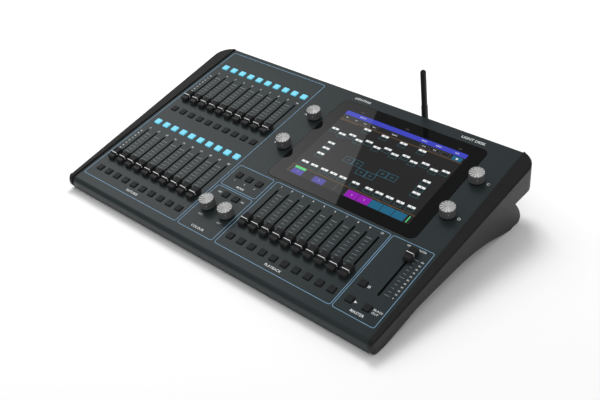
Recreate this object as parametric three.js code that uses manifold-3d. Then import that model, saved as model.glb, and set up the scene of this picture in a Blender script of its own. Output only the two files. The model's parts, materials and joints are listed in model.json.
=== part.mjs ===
// Lighting control desk: a sloping sheet-metal panel and pan between two moulded end cheeks,
// with rows of faders and keys, rotary encoders, a touch display and a hinged antenna.
// Millimetres, +X along the width, +Y towards the rear, +Z up, origin under the middle of the desk.
import * as THREE from "three";
import { mergeVertices } from "three/addons/utils/BufferGeometryUtils.js";
import Module from "manifold-3d";

const wasm = await Module();
wasm.setup();

// ---------------------------------------------------------------- driving dimensions
const PITCH = 17.8; // spacing of the fader columns, the grid that the whole panel is laid out on
const CENTRE_COLUMN = 13.21; // the grid column on the desk's centre plane
const SLOPE = THREE.MathUtils.degToRad(11); // the panel rises towards the rear
const FRONT_HEIGHT = 22.8; // panel surface above the ground at grid row 0

const PANEL_HALF_WIDTH = 255.9;
const PANEL_REAR = 334;
const PANEL_THICKNESS = 2;
const FRONT_FACE = -20.5; // front of the rolled edge
const ROLL_RADIUS = 9;
const SKIRT_BOTTOM = -12.5;

const CHEEK_INNER = 256.2;
const CHEEK_TOP = 2; // the cheeks stand this far above the panel
const CHEEK_FRONT_WIDTH = 8; // width of the cheek's top band at row 0
const CHEEK_TAPER = 13.3 / 302.6; // growth of that band per millimetre towards the rear
const CHEEK_CORNER = 28;

const SHEET = 1.5;
const REAR_PLANE = 320; // front face of the rear panel

const FADER_TRAVEL = 60;
const FADER_ROW = 77; // middle of the travel of the front banks
const BANK_STEP = 151.9; // from the front fixture bank to the rear one
const SLOT_LENGTH = 75;
const SLOT_WIDTH = 2.6;
const LEVER_THICKNESS = 1.2;
const LEVER_LENGTH = 6;
const HOUSING_TOP = -7;
const BOARD_TOP = -15;
const BOARD_THICKNESS = 1.6;

const CAP_WIDTH = 11;
const CAP_BASE = 1.2;
const CAP_TOP = 8.2;
const CAP_FRONT = -8.8; // measured from the pointer line on the cap's ridge
const CAP_REAR = 11.4;

const KEY_SIZE = 9.6;
const KEY_HOLE = 10.4;
const KEY_TOP = 1.6;
const MAT_TOP = -3.4;
const MAT_THICKNESS = 1.2;
const MAT_MARGIN = 7;

const KNOB_RADIUS = 10.5;
const KNOB_HEIGHT = 15;
const KNOB_UNDERCUT = 3; // up to this height the knob is narrower, so that it seems to float
const SHAFT_RADIUS = 3;
const SHAFT_HOLE = 4;
const ENCODER_TOP = -8.5;

const GLASS_WIDTH = 234.8;
const GLASS_LENGTH = 182.6;
const GLASS_CORNER = 9;
const GLASS_GAP = 0.4;

const GAP = 0.3; // between pieces that rest on each other
const ROUND = 24; // sides of a round piece
const COLUMNS = 10; // faders in a bank

// ---------------------------------------------------------------- the panel's grid
const across = (column) => (column - CENTRE_COLUMN) * PITCH;
const along = (row) => row * PITCH;

const FIXTURE_FIRST = -0.03;
const PLAYBACK_FIRST = 14.27;
const MASTER_COLUMN = 26.06;
const KEY_ROWS = { upperSelect: 16.13, upperFlash: 9.58, lowerSelect: 7.593, front: 1.075 };
const MODE_KEYS = [10.625, 11.625, 12.625].map((column) => [across(column), along(6.12)]);
const COLOUR_KEYS = [11.125, 12.125].map((column) => [across(column), along(4)]);
const MASTER_KEYS = {
  pause_key: [across(24.71), along(2.56)],
  go_key: [across(24.71), along(KEY_ROWS.front)],
  blackout_key: [across(MASTER_COLUMN), along(KEY_ROWS.front)],
};
const ENCODERS = {
  encoder_knob_a: [across(11.43), along(14.46)],
  encoder_knob_b: [across(11.43), along(10.54)],
  encoder_knob_c: [across(26.15), along(14.46)],
  encoder_knob_d: [across(26.15), along(10.54)],
  hue_knob: [across(10.79), along(2.43)],
  saturation_knob: [across(12.65), along(2.43)],
};
const GLASS_CENTRE = [across(18.825), along(12.475)];

const columnsFrom = (first) => Array.from({ length: COLUMNS }, (_, i) => across(first + i));
const FIXTURE_COLUMNS = columnsFrom(FIXTURE_FIRST);
const PLAYBACK_COLUMNS = columnsFrom(PLAYBACK_FIRST);
const UPPER_ROW = FADER_ROW + BANK_STEP;
const FADERS = [
  ...FIXTURE_COLUMNS.map((x, i) => ({ name: "upper_fader_cap_" + (i + 1), x, y: UPPER_ROW })),
  ...FIXTURE_COLUMNS.map((x, i) => ({ name: "lower_fader_cap_" + (i + 1), x, y: FADER_ROW })),
  ...PLAYBACK_COLUMNS.map((x, i) => ({ name: "playback_fader_cap_" + (i + 1), x, y: FADER_ROW })),
  { name: "master_fader_cap", x: across(MASTER_COLUMN), y: FADER_ROW, full: true },
];
const rowOfKeys = (columns, row) => columns.map((x) => [x, along(row)]);
const KEY_MATS = {
  upper_select_keys: rowOfKeys(FIXTURE_COLUMNS, KEY_ROWS.upperSelect),
  upper_flash_keys: rowOfKeys(FIXTURE_COLUMNS, KEY_ROWS.upperFlash),
  lower_select_keys: rowOfKeys(FIXTURE_COLUMNS, KEY_ROWS.lowerSelect),
  lower_flash_keys: rowOfKeys(FIXTURE_COLUMNS, KEY_ROWS.front),
  playback_flash_keys: rowOfKeys(PLAYBACK_COLUMNS, KEY_ROWS.front),
  mode_and_colour_keys: [...MODE_KEYS, ...COLOUR_KEYS],
};

// ---------------------------------------------------------------- rear connections
const PORT_HEIGHT = -20; // centre line of the sockets, below the panel surface
const PORT_MARGIN = 0.6;
const PORT_DEPTH = 12;
const NETWORK = { x: 60, width: 16, height: 14, holeWidth: 11.8, holeHeight: 8 };
const USB = { x: 32, width: 14, height: 15 };
const VIDEO = { x: 4, width: 16, height: 6.5 };
const INLET = { x: 226, width: 27, height: 20, holeWidth: 23.5, holeHeight: 15.5 };
const ROCKER = { x: 190, width: 12, height: 19, tilt: THREE.MathUtils.degToRad(7) };
const DMX_OUTPUTS = [-190, -150];
const DMX_RADIUS = 12;
const ANTENNA_X = 99.4;
const ANTENNA_PIVOT = 343; // along the slope, behind the rear edge
const ANTENNA_TIP = 71.5; // above the panel surface
const ANTENNA_RADIUS = 4.1;
const SLEEVE_RADIUS = 4.7;
const HINGE_RADIUS = 4.6;
const HINGE_START = 326.5; // where the swivelling barrel begins, past the threaded socket
const TONGUE = 3.2;

// ---------------------------------------------------------------- materials
const material = (color, roughness, metalness = 0) =>
  new THREE.MeshStandardMaterial({ color, roughness, metalness });
const PAINTED_STEEL = material(0x353d3f, 0.5, 0.2);
const CHEEK_PLASTIC = material(0x2b2b2c, 0.6);
const BLACK_GLASS = material(0x101112, 0.08);
const DISPLAY_STEEL = material(0x9a9c9e, 0.4, 0.9);
const CIRCUIT_BOARD = material(0x14402a, 0.5);
const FADER_PLASTIC = material(0x1a1b1d, 0.55);
const KNOB_PLASTIC = material(0x4a4e4f, 0.45, 0.1);
const DARK_KEY = material(0x1d2021, 0.7);
const LIT_KEY = material(0x5fd6f4, 0.4);
const ANTENNA_PLASTIC = material(0x1b1c1d, 0.6);
const ROCKER_PLASTIC = material(0x111111, 0.3);

// ---------------------------------------------------------------- solids
function solid(geometry) {
  const bare = geometry.index ? geometry.toNonIndexed() : geometry.clone();
  bare.deleteAttribute("normal");
  bare.deleteAttribute("uv");
  const merged = mergeVertices(bare, 1e-4);
  const triVerts = new Uint32Array(merged.index.array);
  const vertProperties = merged.attributes.position.array;
  return new wasm.Manifold(new wasm.Mesh({ numProp: 3, vertProperties, triVerts }));
}

function geometryOf(piece) {
  const mesh = piece.getMesh();
  const geometry = new THREE.BufferGeometry();
  geometry.setAttribute("position", new THREE.BufferAttribute(mesh.vertProperties, 3));
  geometry.setIndex(new THREE.BufferAttribute(mesh.triVerts, 1));
  geometry.computeVertexNormals();
  return geometry;
}

const joined = (pieces) => pieces.reduce((whole, piece) => whole.add(piece));
const cutBy = (piece, tools) => tools.reduce((rest, tool) => rest.subtract(tool), piece);

// A box from its centre and its extent along each axis; z runs from low to high.
function block(x, y, width, length, low, high) {
  const geometry = new THREE.BoxGeometry(width, length, high - low);
  return solid(geometry.translate(x, y, (low + high) / 2));
}

// A socket's box: centred on the port line, from one depth along the slope to another.
function portBox(x, width, height, from, to) {
  const geometry = new THREE.BoxGeometry(width, to - from, height);
  return solid(geometry.translate(x, (from + to) / 2, PORT_HEIGHT));
}

// A cylinder about an axis square to the panel.
function post(x, y, radius, low, high) {
  const geometry = new THREE.CylinderGeometry(radius, radius, high - low, ROUND);
  return solid(geometry.rotateX(Math.PI / 2).translate(x, y, (low + high) / 2));
}

// A cylinder about an axis along the slope.
function spindle(x, z, radius, from, to, sides = ROUND) {
  const geometry = new THREE.CylinderGeometry(radius, radius, to - from, sides);
  return solid(geometry.translate(x, (from + to) / 2, z));
}

// A side view, drawn as (y, z), drawn out along X.
function drawnAcross(shape, from, to, curveSegments = 6) {
  const options = { depth: to - from, bevelEnabled: false, curveSegments };
  const geometry = new THREE.ExtrudeGeometry(shape, options);
  const turn = new THREE.Matrix4().makeBasis(
    new THREE.Vector3(0, 1, 0),
    new THREE.Vector3(0, 0, 1),
    new THREE.Vector3(1, 0, 0),
  );
  return solid(geometry.applyMatrix4(turn).translate(from, 0, 0));
}

// A plan view, drawn as (x, y), drawn out along Z.
function drawnUp(shape, low, high, curveSegments = 6) {
  const options = { depth: high - low, bevelEnabled: false, curveSegments };
  return solid(new THREE.ExtrudeGeometry(shape, options).translate(0, 0, low));
}

function polygon(points) {
  return new THREE.Shape(points.map(([a, b]) => new THREE.Vector2(a, b)));
}

// An arc that the outline reaches by a straight line, which absarc leaves out at a shape's start.
function arc(shape, x, y, radius, from, to, clockwise = false) {
  shape.lineTo(x + radius * Math.cos(from), y + radius * Math.sin(from));
  shape.absarc(x, y, radius, from, to, clockwise);
}

// The touch glass's outline, a rectangle with round corners, grown by a margin all round.
function glassOutline(margin) {
  const [x, y] = GLASS_CENTRE;
  const corner = GLASS_CORNER;
  const [left, right] = [x - GLASS_WIDTH / 2 - margin, x + GLASS_WIDTH / 2 + margin];
  const [front, rear] = [y - GLASS_LENGTH / 2 - margin, y + GLASS_LENGTH / 2 + margin];
  const shape = new THREE.Shape();
  shape.absarc(right - corner, front + corner, corner, -Math.PI / 2, 0);
  shape.absarc(right - corner, rear - corner, corner, 0, Math.PI / 2);
  shape.absarc(left + corner, rear - corner, corner, Math.PI / 2, Math.PI);
  shape.absarc(left + corner, front + corner, corner, Math.PI, 1.5 * Math.PI);
  return shape;
}

// ---------------------------------------------------------------- casing
// The panel: a flat plate with its cut-outs, a rolled front edge and a short rear flange.
function topPanel() {
  const rollStart = FRONT_FACE + ROLL_RADIUS;
  const flat = PANEL_REAR - rollStart;
  const [low, high] = [-PANEL_THICKNESS, 0];
  const plate = block(0, rollStart + flat / 2, 2 * PANEL_HALF_WIDTH, flat, low, high);
  const through = [low - 1, high + 1];
  const keys = [...Object.values(KEY_MATS).flat(), ...Object.values(MASTER_KEYS)];
  const slots = FADERS.map(({ x, y }) => block(x, y, SLOT_WIDTH, SLOT_LENGTH, ...through));
  const keyHoles = keys.map(([x, y]) => block(x, y, KEY_HOLE, KEY_HOLE, ...through));
  const shaftHoles = Object.values(ENCODERS).map(([x, y]) => post(x, y, SHAFT_HOLE, ...through));
  const window = drawnUp(glassOutline(GLASS_GAP), ...through);

  const roll = new THREE.Shape();
  const lap = 1; // the roll runs this far under the flat plate's edge
  roll.moveTo(rollStart + lap, 0);
  arc(roll, rollStart, -ROLL_RADIUS, ROLL_RADIUS, Math.PI / 2, Math.PI);
  roll.lineTo(FRONT_FACE, SKIRT_BOTTOM);
  roll.lineTo(FRONT_FACE + PANEL_THICKNESS, SKIRT_BOTTOM);
  arc(roll, rollStart, -ROLL_RADIUS, ROLL_RADIUS - PANEL_THICKNESS, Math.PI, Math.PI / 2, true);
  roll.lineTo(rollStart + lap, -PANEL_THICKNESS);
  const flangeDepth = 6;
  const flange = block(0, PANEL_REAR - 1, 2 * PANEL_HALF_WIDTH, 2, -flangeDepth, 0);
  const whole = joined([plate, drawnAcross(roll, -PANEL_HALF_WIDTH, PANEL_HALF_WIDTH, 8), flange]);
  return cutBy(whole, [...slots, ...keyHoles, ...shaftHoles, window]);
}

// The pan follows the cheeks' underside: shallow under the front, deeper behind the display.
const PAN_OUTLINE = [
  [62, -20],
  [110, -26],
  [154, -31],
  [270, -34.3],
  [321.5, -44],
];
const PAN_FRONT = { face: -20, top: -13, bottom: -20, corner: 2.5 };

function bottomPan() {
  const { face, top, bottom, corner } = PAN_FRONT;
  const shape = new THREE.Shape();
  shape.moveTo(face, top);
  arc(shape, face + corner, bottom + corner, corner, Math.PI, 1.5 * Math.PI);
  for (const [y, z] of PAN_OUTLINE) shape.lineTo(y, z);
  for (const [y, z] of [...PAN_OUTLINE].reverse()) shape.lineTo(y, z + SHEET);
  const inner = corner - SHEET;
  arc(shape, face + corner, bottom + corner, inner, 1.5 * Math.PI, Math.PI, true);
  shape.lineTo(face + SHEET, top);
  return drawnAcross(shape, -PANEL_HALF_WIDTH, PANEL_HALF_WIDTH);
}

// A point given by its distance along the ground and its height, in the panel's own (y, z).
function fromGround(y, height) {
  const rise = height - FRONT_HEIGHT;
  const [c, s] = [Math.cos(SLOPE), Math.sin(SLOPE)];
  return [y * c + rise * s, rise * c - y * s];
}

// The cheek's side view: a blade under the panel, and a foot that carries the rear.
function cheekSide() {
  const shape = new THREE.Shape();
  const noseRadius = 10;
  const noseFront = -22;
  const go = (...point) => shape.lineTo(...fromGround(...point));
  shape.moveTo(PANEL_REAR, CHEEK_TOP);
  arc(shape, noseFront + noseRadius, CHEEK_TOP - noseRadius, noseRadius, Math.PI / 2, Math.PI);
  shape.quadraticCurveTo(noseFront, -18, ...fromGround(-8, 0));
  go(2, 0);
  go(15.1, 3.4);
  go(62.7, 14.4);
  shape.quadraticCurveTo(...fromGround(105, 19), ...fromGround(157, 20.6));
  shape.quadraticCurveTo(...fromGround(200, 20.5), ...fromGround(231, 11.4));
  go(266, 1);
  go(270, 0);
  go(295, 0);
  shape.quadraticCurveTo(...fromGround(299, 4), ...fromGround(298.5, 9));
  shape.quadraticCurveTo(...fromGround(296, 21), ...fromGround(276.8, 41.5));
  go(328.6, 45.5);
  return shape;
}

// The cheek's plan: a straight inner face, a tapering outer face and a rounded rear corner.
function cheekPlan() {
  const outer = (y) => CHEEK_INNER + CHEEK_FRONT_WIDTH + CHEEK_TAPER * y;
  const shape = new THREE.Shape();
  const [tip, bevel] = [-24, -16]; // the nose's outer corner is bevelled between these rows
  const cornerY = PANEL_REAR - CHEEK_CORNER;
  shape.moveTo(CHEEK_INNER, tip);
  shape.lineTo(outer(tip) - 3, tip);
  shape.lineTo(outer(bevel), bevel);
  shape.lineTo(outer(cornerY), cornerY);
  const centre = outer(cornerY) - CHEEK_CORNER;
  arc(shape, centre, cornerY, CHEEK_CORNER, 0, Math.acos((CHEEK_INNER - centre) / CHEEK_CORNER));
  return shape;
}

function endCheek(side) {
  const deepest = -100;
  const widest = CHEEK_INNER + CHEEK_FRONT_WIDTH + CHEEK_TAPER * PANEL_REAR;
  const blank = drawnAcross(cheekSide(), CHEEK_INNER, widest, 8);
  const outline = drawnUp(cheekPlan(), deepest, CHEEK_TOP, 8);
  const pocketDepth = 9;
  const pocket = block(CHEEK_INNER, 219, 2 * pocketDepth, 174, -27, -6);
  const piece = blank.intersect(outline).subtract(pocket);
  return side < 0 ? piece.mirror([1, 0, 0]) : piece;
}

function rearPanel() {
  const [face, back] = [REAR_PLANE + SHEET, REAR_PLANE];
  const low = -42;
  const high = -PANEL_THICKNESS - GAP;
  const sheet = block(0, back + SHEET / 2, 2 * PANEL_HALF_WIDTH, SHEET, low, high);
  const cutOut = ({ x, width, height }) =>
    portBox(x, width + 2 * PORT_MARGIN, height + 2 * PORT_MARGIN, back - 1, face + 1);
  const flanges = DMX_OUTPUTS.map((x) => spindle(x, PORT_HEIGHT, DMX_RADIUS, back, face + 2));
  const nut = spindle(ANTENNA_X, PORT_HEIGHT, 4.6, back, face + 2, 6);
  const thread = spindle(ANTENNA_X, PORT_HEIGHT, 3.1, back, HINGE_START - GAP);
  const whole = joined([sheet, ...flanges, nut, thread]);
  return cutBy(whole, [NETWORK, USB, VIDEO, INLET, ROCKER].map(cutOut));
}

// ---------------------------------------------------------------- display
const touchGlass = () => drawnUp(glassOutline(0), -PANEL_THICKNESS, GAP);

function displayModule() {
  const [x, y] = [GLASS_CENTRE[0], along(12.435)];
  const face = -PANEL_THICKNESS - GAP;
  return block(x, y, 212, 168, face - 5.5, face).add(block(x, y, 180, 138, face - 9.5, face - 5));
}

// ---------------------------------------------------------------- boards
function faderHousing(x, y) {
  const body = block(x, y, 9, 82, BOARD_TOP - 0.5, HOUSING_TOP);
  return body.subtract(block(x, y, SLOT_WIDTH, SLOT_LENGTH, BOARD_TOP + 1, HOUSING_TOP + 1));
}

const encoderBody = (name) => block(...ENCODERS[name], 12.5, 13, BOARD_TOP - 0.5, ENCODER_TOP);

function fixtureBoard() {
  const [left, right] = [-247, -6];
  const board = block((left + right) / 2, 159, right - left, 302, BOARD_TOP - BOARD_THICKNESS, BOARD_TOP);
  const housings = [UPPER_ROW, FADER_ROW].flatMap((y) => FIXTURE_COLUMNS.map((x) => faderHousing(x, y)));
  const encoders = ["encoder_knob_a", "encoder_knob_b", "hue_knob", "saturation_knob"].map(encoderBody);
  return joined([board, ...housings, ...encoders]);
}

function playbackBoard() {
  const outline = polygon([
    [-2, 8],
    [248, 8],
    [248, 290],
    [219.5, 290],
    [219.5, 125],
    [-2, 125],
  ]);
  const board = drawnUp(outline, BOARD_TOP - BOARD_THICKNESS, BOARD_TOP);
  const columns = [...PLAYBACK_COLUMNS, across(MASTER_COLUMN)];
  const housings = columns.map((x) => faderHousing(x, FADER_ROW));
  const encoders = ["encoder_knob_c", "encoder_knob_d"].map(encoderBody);
  return joined([board, ...housings, ...encoders]);
}

const INNER_BOARD_TOP = -27.5;

// The computer board, with its heatsink and the sockets that reach through the rear panel.
function mainBoard() {
  const board = block(65, 243, 150, 138, INNER_BOARD_TOP - BOARD_THICKNESS, INNER_BOARD_TOP);
  const [front, back] = [REAR_PLANE - 14, REAR_PLANE + SHEET];
  const socket = ({ x, width, height }) => portBox(x, width, height, front, back + 0.3);
  const legs = [NETWORK, USB, VIDEO].map(({ x, width }) =>
    block(x, front + 3, width - 2, 6, INNER_BOARD_TOP - 0.5, PORT_HEIGHT));
  const sink = block(60, 225, 60, 60, INNER_BOARD_TOP - 0.5, -23);
  const fins = [-25, -15, -5, 5, 15, 25].map((x) => block(60 + x, 225, 2, 60, -23.5, -15));
  const sockets = [NETWORK, USB, VIDEO].map(socket);
  const whole = joined([board, sink, ...fins, ...legs, ...sockets]);
  const { x, holeWidth, holeHeight } = NETWORK;
  return whole.subtract(portBox(x, holeWidth, holeHeight, back - PORT_DEPTH, back + 1));
}

function powerSupply() {
  const board = block(203, 262, 84, 100, INNER_BOARD_TOP - BOARD_THICKNESS, INNER_BOARD_TOP);
  const [front, back] = [REAR_PLANE - 18, REAR_PLANE + SHEET];
  const { x, width, height, holeWidth, holeHeight } = INLET;
  const inlet = portBox(x, width, height, front, back + 0.3);
  const leg = block(x, front + 5, width - 2, 10, INNER_BOARD_TOP - 0.5, PORT_HEIGHT);
  const transformer = block(190, 250, 34, 30, INNER_BOARD_TOP - 0.5, -17.5);
  const capacitor = post(225, 240, 8, INNER_BOARD_TOP - 0.5, -17.5);
  const whole = joined([board, transformer, capacitor, leg, inlet]);
  return whole.subtract(portBox(x, holeWidth, holeHeight, back - PORT_DEPTH, back + 1));
}

// ---------------------------------------------------------------- controls
// A fader cap's side view: a ribbed rear half, a ridge with a pointer line and a scooped front half.
function capSide() {
  const ribs = 4;
  const ribPitch = 2;
  const shape = new THREE.Shape();
  shape.moveTo(CAP_FRONT, CAP_BASE);
  shape.lineTo(CAP_REAR, CAP_BASE);
  shape.lineTo(CAP_REAR - 0.8, CAP_TOP - 0.8);
  for (let rib = 0; rib < ribs; rib++) {
    shape.lineTo(CAP_REAR - 1.8 - ribPitch * rib, CAP_TOP - 0.5);
    shape.lineTo(CAP_REAR - 3 - ribPitch * rib, CAP_TOP - 1.1);
  }
  shape.lineTo(1.1, CAP_TOP);
  shape.lineTo(-1.1, CAP_TOP);
  shape.quadraticCurveTo(CAP_FRONT / 2, CAP_TOP - 3, CAP_FRONT + 1.4, CAP_TOP - 1.4);
  shape.lineTo(CAP_FRONT, CAP_TOP - 3);
  return shape;
}

function faderCap({ x, y, full }) {
  const rest = full ? y + FADER_TRAVEL / 2 : y - FADER_TRAVEL / 2;
  const cap = drawnAcross(capSide(), -CAP_WIDTH / 2, CAP_WIDTH / 2, 4);
  const lever = block(0, 0, LEVER_THICKNESS, LEVER_LENGTH, -13, CAP_BASE + 2);
  return cap.add(lever).translate([x, rest, 0]);
}

function knob(x, y) {
  const outline = [
    [0, ENCODER_TOP + GAP],
    [SHAFT_RADIUS, ENCODER_TOP + GAP],
    [SHAFT_RADIUS, 1],
    [KNOB_RADIUS - 1.1, 1],
    [KNOB_RADIUS - 1.1, KNOB_UNDERCUT],
    [KNOB_RADIUS + 0.2, KNOB_UNDERCUT],
    [KNOB_RADIUS, KNOB_HEIGHT - 2.5],
    [KNOB_RADIUS - 0.5, KNOB_HEIGHT - 0.6],
    [KNOB_RADIUS - 1.3, KNOB_HEIGHT],
    [0, KNOB_HEIGHT],
  ].map(([radius, height]) => new THREE.Vector2(radius, height));
  const turned = new THREE.LatheGeometry(outline, ROUND).rotateX(Math.PI / 2);
  return solid(turned).translate([x, y, 0]);
}

function keyBlock([x, y]) {
  const face = 1.2; // the cap's edge is chamfered by this much
  const base = block(x, y, KEY_SIZE, KEY_SIZE, MAT_TOP - 0.2, KEY_TOP - face / 2);
  return base.add(block(x, y, KEY_SIZE - face, KEY_SIZE - face, KEY_TOP - 1, KEY_TOP));
}

function keyMat(keys) {
  const [xs, ys] = [keys.map(([x]) => x), keys.map(([, y]) => y)];
  const middle = (values) => (Math.min(...values) + Math.max(...values)) / 2;
  const extent = (values) => Math.max(...values) - Math.min(...values) + 2 * MAT_MARGIN;
  const web = block(middle(xs), middle(ys), extent(xs), extent(ys), MAT_TOP - MAT_THICKNESS, MAT_TOP);
  return joined([web, ...keys.map(keyBlock)]);
}

// ---------------------------------------------------------------- rear moving pieces
// The rocker, tipped to its off position about its own pivot.
function powerRocker() {
  const half = ROCKER.height / 2 - 0.4;
  const shape = polygon([
    [-3, -half + 1.5],
    [3.4, -half],
    [2.6, 0],
    [3.4, half],
    [-3, half - 1.5],
  ]);
  const paddle = drawnAcross(shape, -ROCKER.width / 2 + 0.4, ROCKER.width / 2 - 0.4);
  return paddle.rotate([THREE.MathUtils.radToDeg(ROCKER.tilt), 0, 0]).translate([
    ROCKER.x,
    REAR_PLANE,
    PORT_HEIGHT,
  ]);
}

// The part of the hinge that swivels on the threaded socket, with a tongue for the whip.
function antennaKnuckle() {
  const end = ANTENNA_PIVOT - HINGE_RADIUS - 0.4;
  const barrel = spindle(ANTENNA_X, PORT_HEIGHT, HINGE_RADIUS, HINGE_START, end);
  const side = new THREE.Shape();
  const reach = 3.6;
  side.moveTo(ANTENNA_PIVOT - HINGE_RADIUS - 1, PORT_HEIGHT + reach);
  side.lineTo(ANTENNA_PIVOT - HINGE_RADIUS - 1, PORT_HEIGHT - reach);
  arc(side, ANTENNA_PIVOT, PORT_HEIGHT, reach, -Math.PI / 2, Math.PI / 2);
  const tongue = drawnAcross(side, ANTENNA_X - TONGUE / 2, ANTENNA_X + TONGUE / 2, 12);
  return barrel.add(tongue);
}

// The whip: a sleeve that forks round the tongue, a taper and a slim rod with a rounded tip.
function antennaWhip() {
  const sleeveTop = 8;
  const shoulder = 14;
  const tip = ANTENNA_TIP;
  const outline = [
    [0, PORT_HEIGHT],
    [SLEEVE_RADIUS, PORT_HEIGHT],
    [SLEEVE_RADIUS, sleeveTop],
    [ANTENNA_RADIUS, shoulder],
    [ANTENNA_RADIUS, tip - ANTENNA_RADIUS],
    [ANTENNA_RADIUS * 0.8, tip - ANTENNA_RADIUS * 0.4],
    [ANTENNA_RADIUS * 0.45, tip - 0.3],
    [0, tip],
  ].map(([radius, height]) => new THREE.Vector2(radius, height));
  const rod = solid(new THREE.LatheGeometry(outline, ROUND).rotateX(Math.PI / 2));
  const ear = new THREE.CylinderGeometry(SLEEVE_RADIUS, SLEEVE_RADIUS, 2 * SLEEVE_RADIUS - 1, ROUND);
  const ears = solid(ear.rotateZ(Math.PI / 2).translate(0, 0, PORT_HEIGHT));
  const fork = block(0, 0, TONGUE + 0.8, 4 * SLEEVE_RADIUS, PORT_HEIGHT - 10, PORT_HEIGHT + 5.6);
  return rod.add(ears).subtract(fork).translate([ANTENNA_X, ANTENNA_PIVOT, 0]);
}

// ---------------------------------------------------------------- assembly
const deck = new THREE.Group(); // everything is drawn in the panel's own frame
deck.rotation.x = SLOPE;
deck.position.z = FRONT_HEIGHT;

function place(name, piece, finish) {
  const mesh = new THREE.Mesh(geometryOf(piece), finish);
  mesh.name = name;
  deck.add(mesh);
}

place("top_panel", topPanel(), PAINTED_STEEL);
place("bottom_pan", bottomPan(), PAINTED_STEEL);
place("left_end_cheek", endCheek(-1), CHEEK_PLASTIC);
place("right_end_cheek", endCheek(1), CHEEK_PLASTIC);
place("rear_panel", rearPanel(), PAINTED_STEEL);
place("touch_glass", touchGlass(), BLACK_GLASS);
place("display_module", displayModule(), DISPLAY_STEEL);
place("fixture_fader_board", fixtureBoard(), CIRCUIT_BOARD);
place("playback_fader_board", playbackBoard(), CIRCUIT_BOARD);
place("main_board", mainBoard(), CIRCUIT_BOARD);
place("power_supply", powerSupply(), CIRCUIT_BOARD);
for (const fader of FADERS) place(fader.name, faderCap(fader), FADER_PLASTIC);
for (const [name, [x, y]] of Object.entries(ENCODERS)) place(name, knob(x, y), KNOB_PLASTIC);
for (const [name, keys] of Object.entries(KEY_MATS))
  place(name, keyMat(keys), name.includes("select") ? LIT_KEY : DARK_KEY);
for (const [name, key] of Object.entries(MASTER_KEYS)) place(name, keyMat([key]), DARK_KEY);
place("power_rocker", powerRocker(), ROCKER_PLASTIC);
place("antenna_knuckle", antennaKnuckle(), ANTENNA_PLASTIC);
place("antenna_whip", antennaWhip(), ANTENNA_PLASTIC);

// The origin goes under the middle of the desk's box.
const desk = new THREE.Group();
desk.add(deck);
desk.updateMatrixWorld(true);
const middle = new THREE.Box3().setFromObject(deck, true).getCenter(new THREE.Vector3());
deck.position.y -= middle.y;

export default desk;
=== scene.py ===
import json
import math

import bmesh
import bpy
from mathutils import Matrix, Vector


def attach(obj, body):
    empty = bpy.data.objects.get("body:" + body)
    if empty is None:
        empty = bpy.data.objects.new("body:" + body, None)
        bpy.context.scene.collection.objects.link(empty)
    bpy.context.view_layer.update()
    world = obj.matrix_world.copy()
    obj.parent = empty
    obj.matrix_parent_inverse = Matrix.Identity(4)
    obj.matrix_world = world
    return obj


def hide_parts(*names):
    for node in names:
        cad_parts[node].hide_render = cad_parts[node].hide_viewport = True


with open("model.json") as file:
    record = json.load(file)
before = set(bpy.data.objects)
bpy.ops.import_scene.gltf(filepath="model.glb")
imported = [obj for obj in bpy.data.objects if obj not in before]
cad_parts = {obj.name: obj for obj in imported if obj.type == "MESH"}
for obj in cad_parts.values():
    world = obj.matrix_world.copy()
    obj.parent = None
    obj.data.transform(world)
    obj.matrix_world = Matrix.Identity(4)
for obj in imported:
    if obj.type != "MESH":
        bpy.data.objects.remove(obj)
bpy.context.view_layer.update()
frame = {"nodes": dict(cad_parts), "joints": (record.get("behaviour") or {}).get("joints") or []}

# ------------------------------------------------------------------ driving sizes, millimetres
MM = 0.001
PITCH = 17.8  # spacing of the fader columns, the grid that the panel is laid out on
CENTRE_COLUMN = 13.21
COLUMNS = 10
PANEL_HALF_WIDTH = 255.9
PANEL_REAR = 334.0
PANEL_THICKNESS = 2.0
FRONT_FACE = -20.5
ROLL_RADIUS = 9.0
SKIRT_BOTTOM = -12.5
FRONT_HEIGHT = 22.8

# ------------------------------------------------------------------ the panel's own frame
JOINTS = {joint["name"]: joint for joint in frame["joints"]}
ALONG_SLOPE = Vector(JOINTS["master_fader_slide"]["axis"]).normalized()
NORMAL = Vector(JOINTS["hue_turn"]["axis"]).normalized()
SLOPE = math.asin(ALONG_SLOPE.z)


def across(column):
    return (column - CENTRE_COLUMN) * PITCH


def along(row):
    return row * PITCH


HUE_KNOB = (across(10.79), along(2.43))
HUE_AXIS = Vector(JOINTS["hue_turn"]["pos_m"])
PANEL_ORIGIN = HUE_AXIS - Vector((HUE_KNOB[0], 0, 0)) * MM - ALONG_SLOPE * HUE_KNOB[1] * MM
PANEL = Matrix.Translation(PANEL_ORIGIN) @ Matrix(((1, 0, 0), ALONG_SLOPE, NORMAL)).transposed().to_4x4()


def at(x, y, z=0.0):
    """A place in the panel's frame, in millimetres, as a matrix in the row frame."""
    return PANEL @ Matrix.Translation(Vector((x, y, z)) * MM)


def from_ground(y, height):
    """A distance along the ground and a height, as (y, z) in the panel's frame."""
    rise = height - FRONT_HEIGHT
    return (y * math.cos(SLOPE) + rise * math.sin(SLOPE), rise * math.cos(SLOPE) - y * math.sin(SLOPE))


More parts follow.
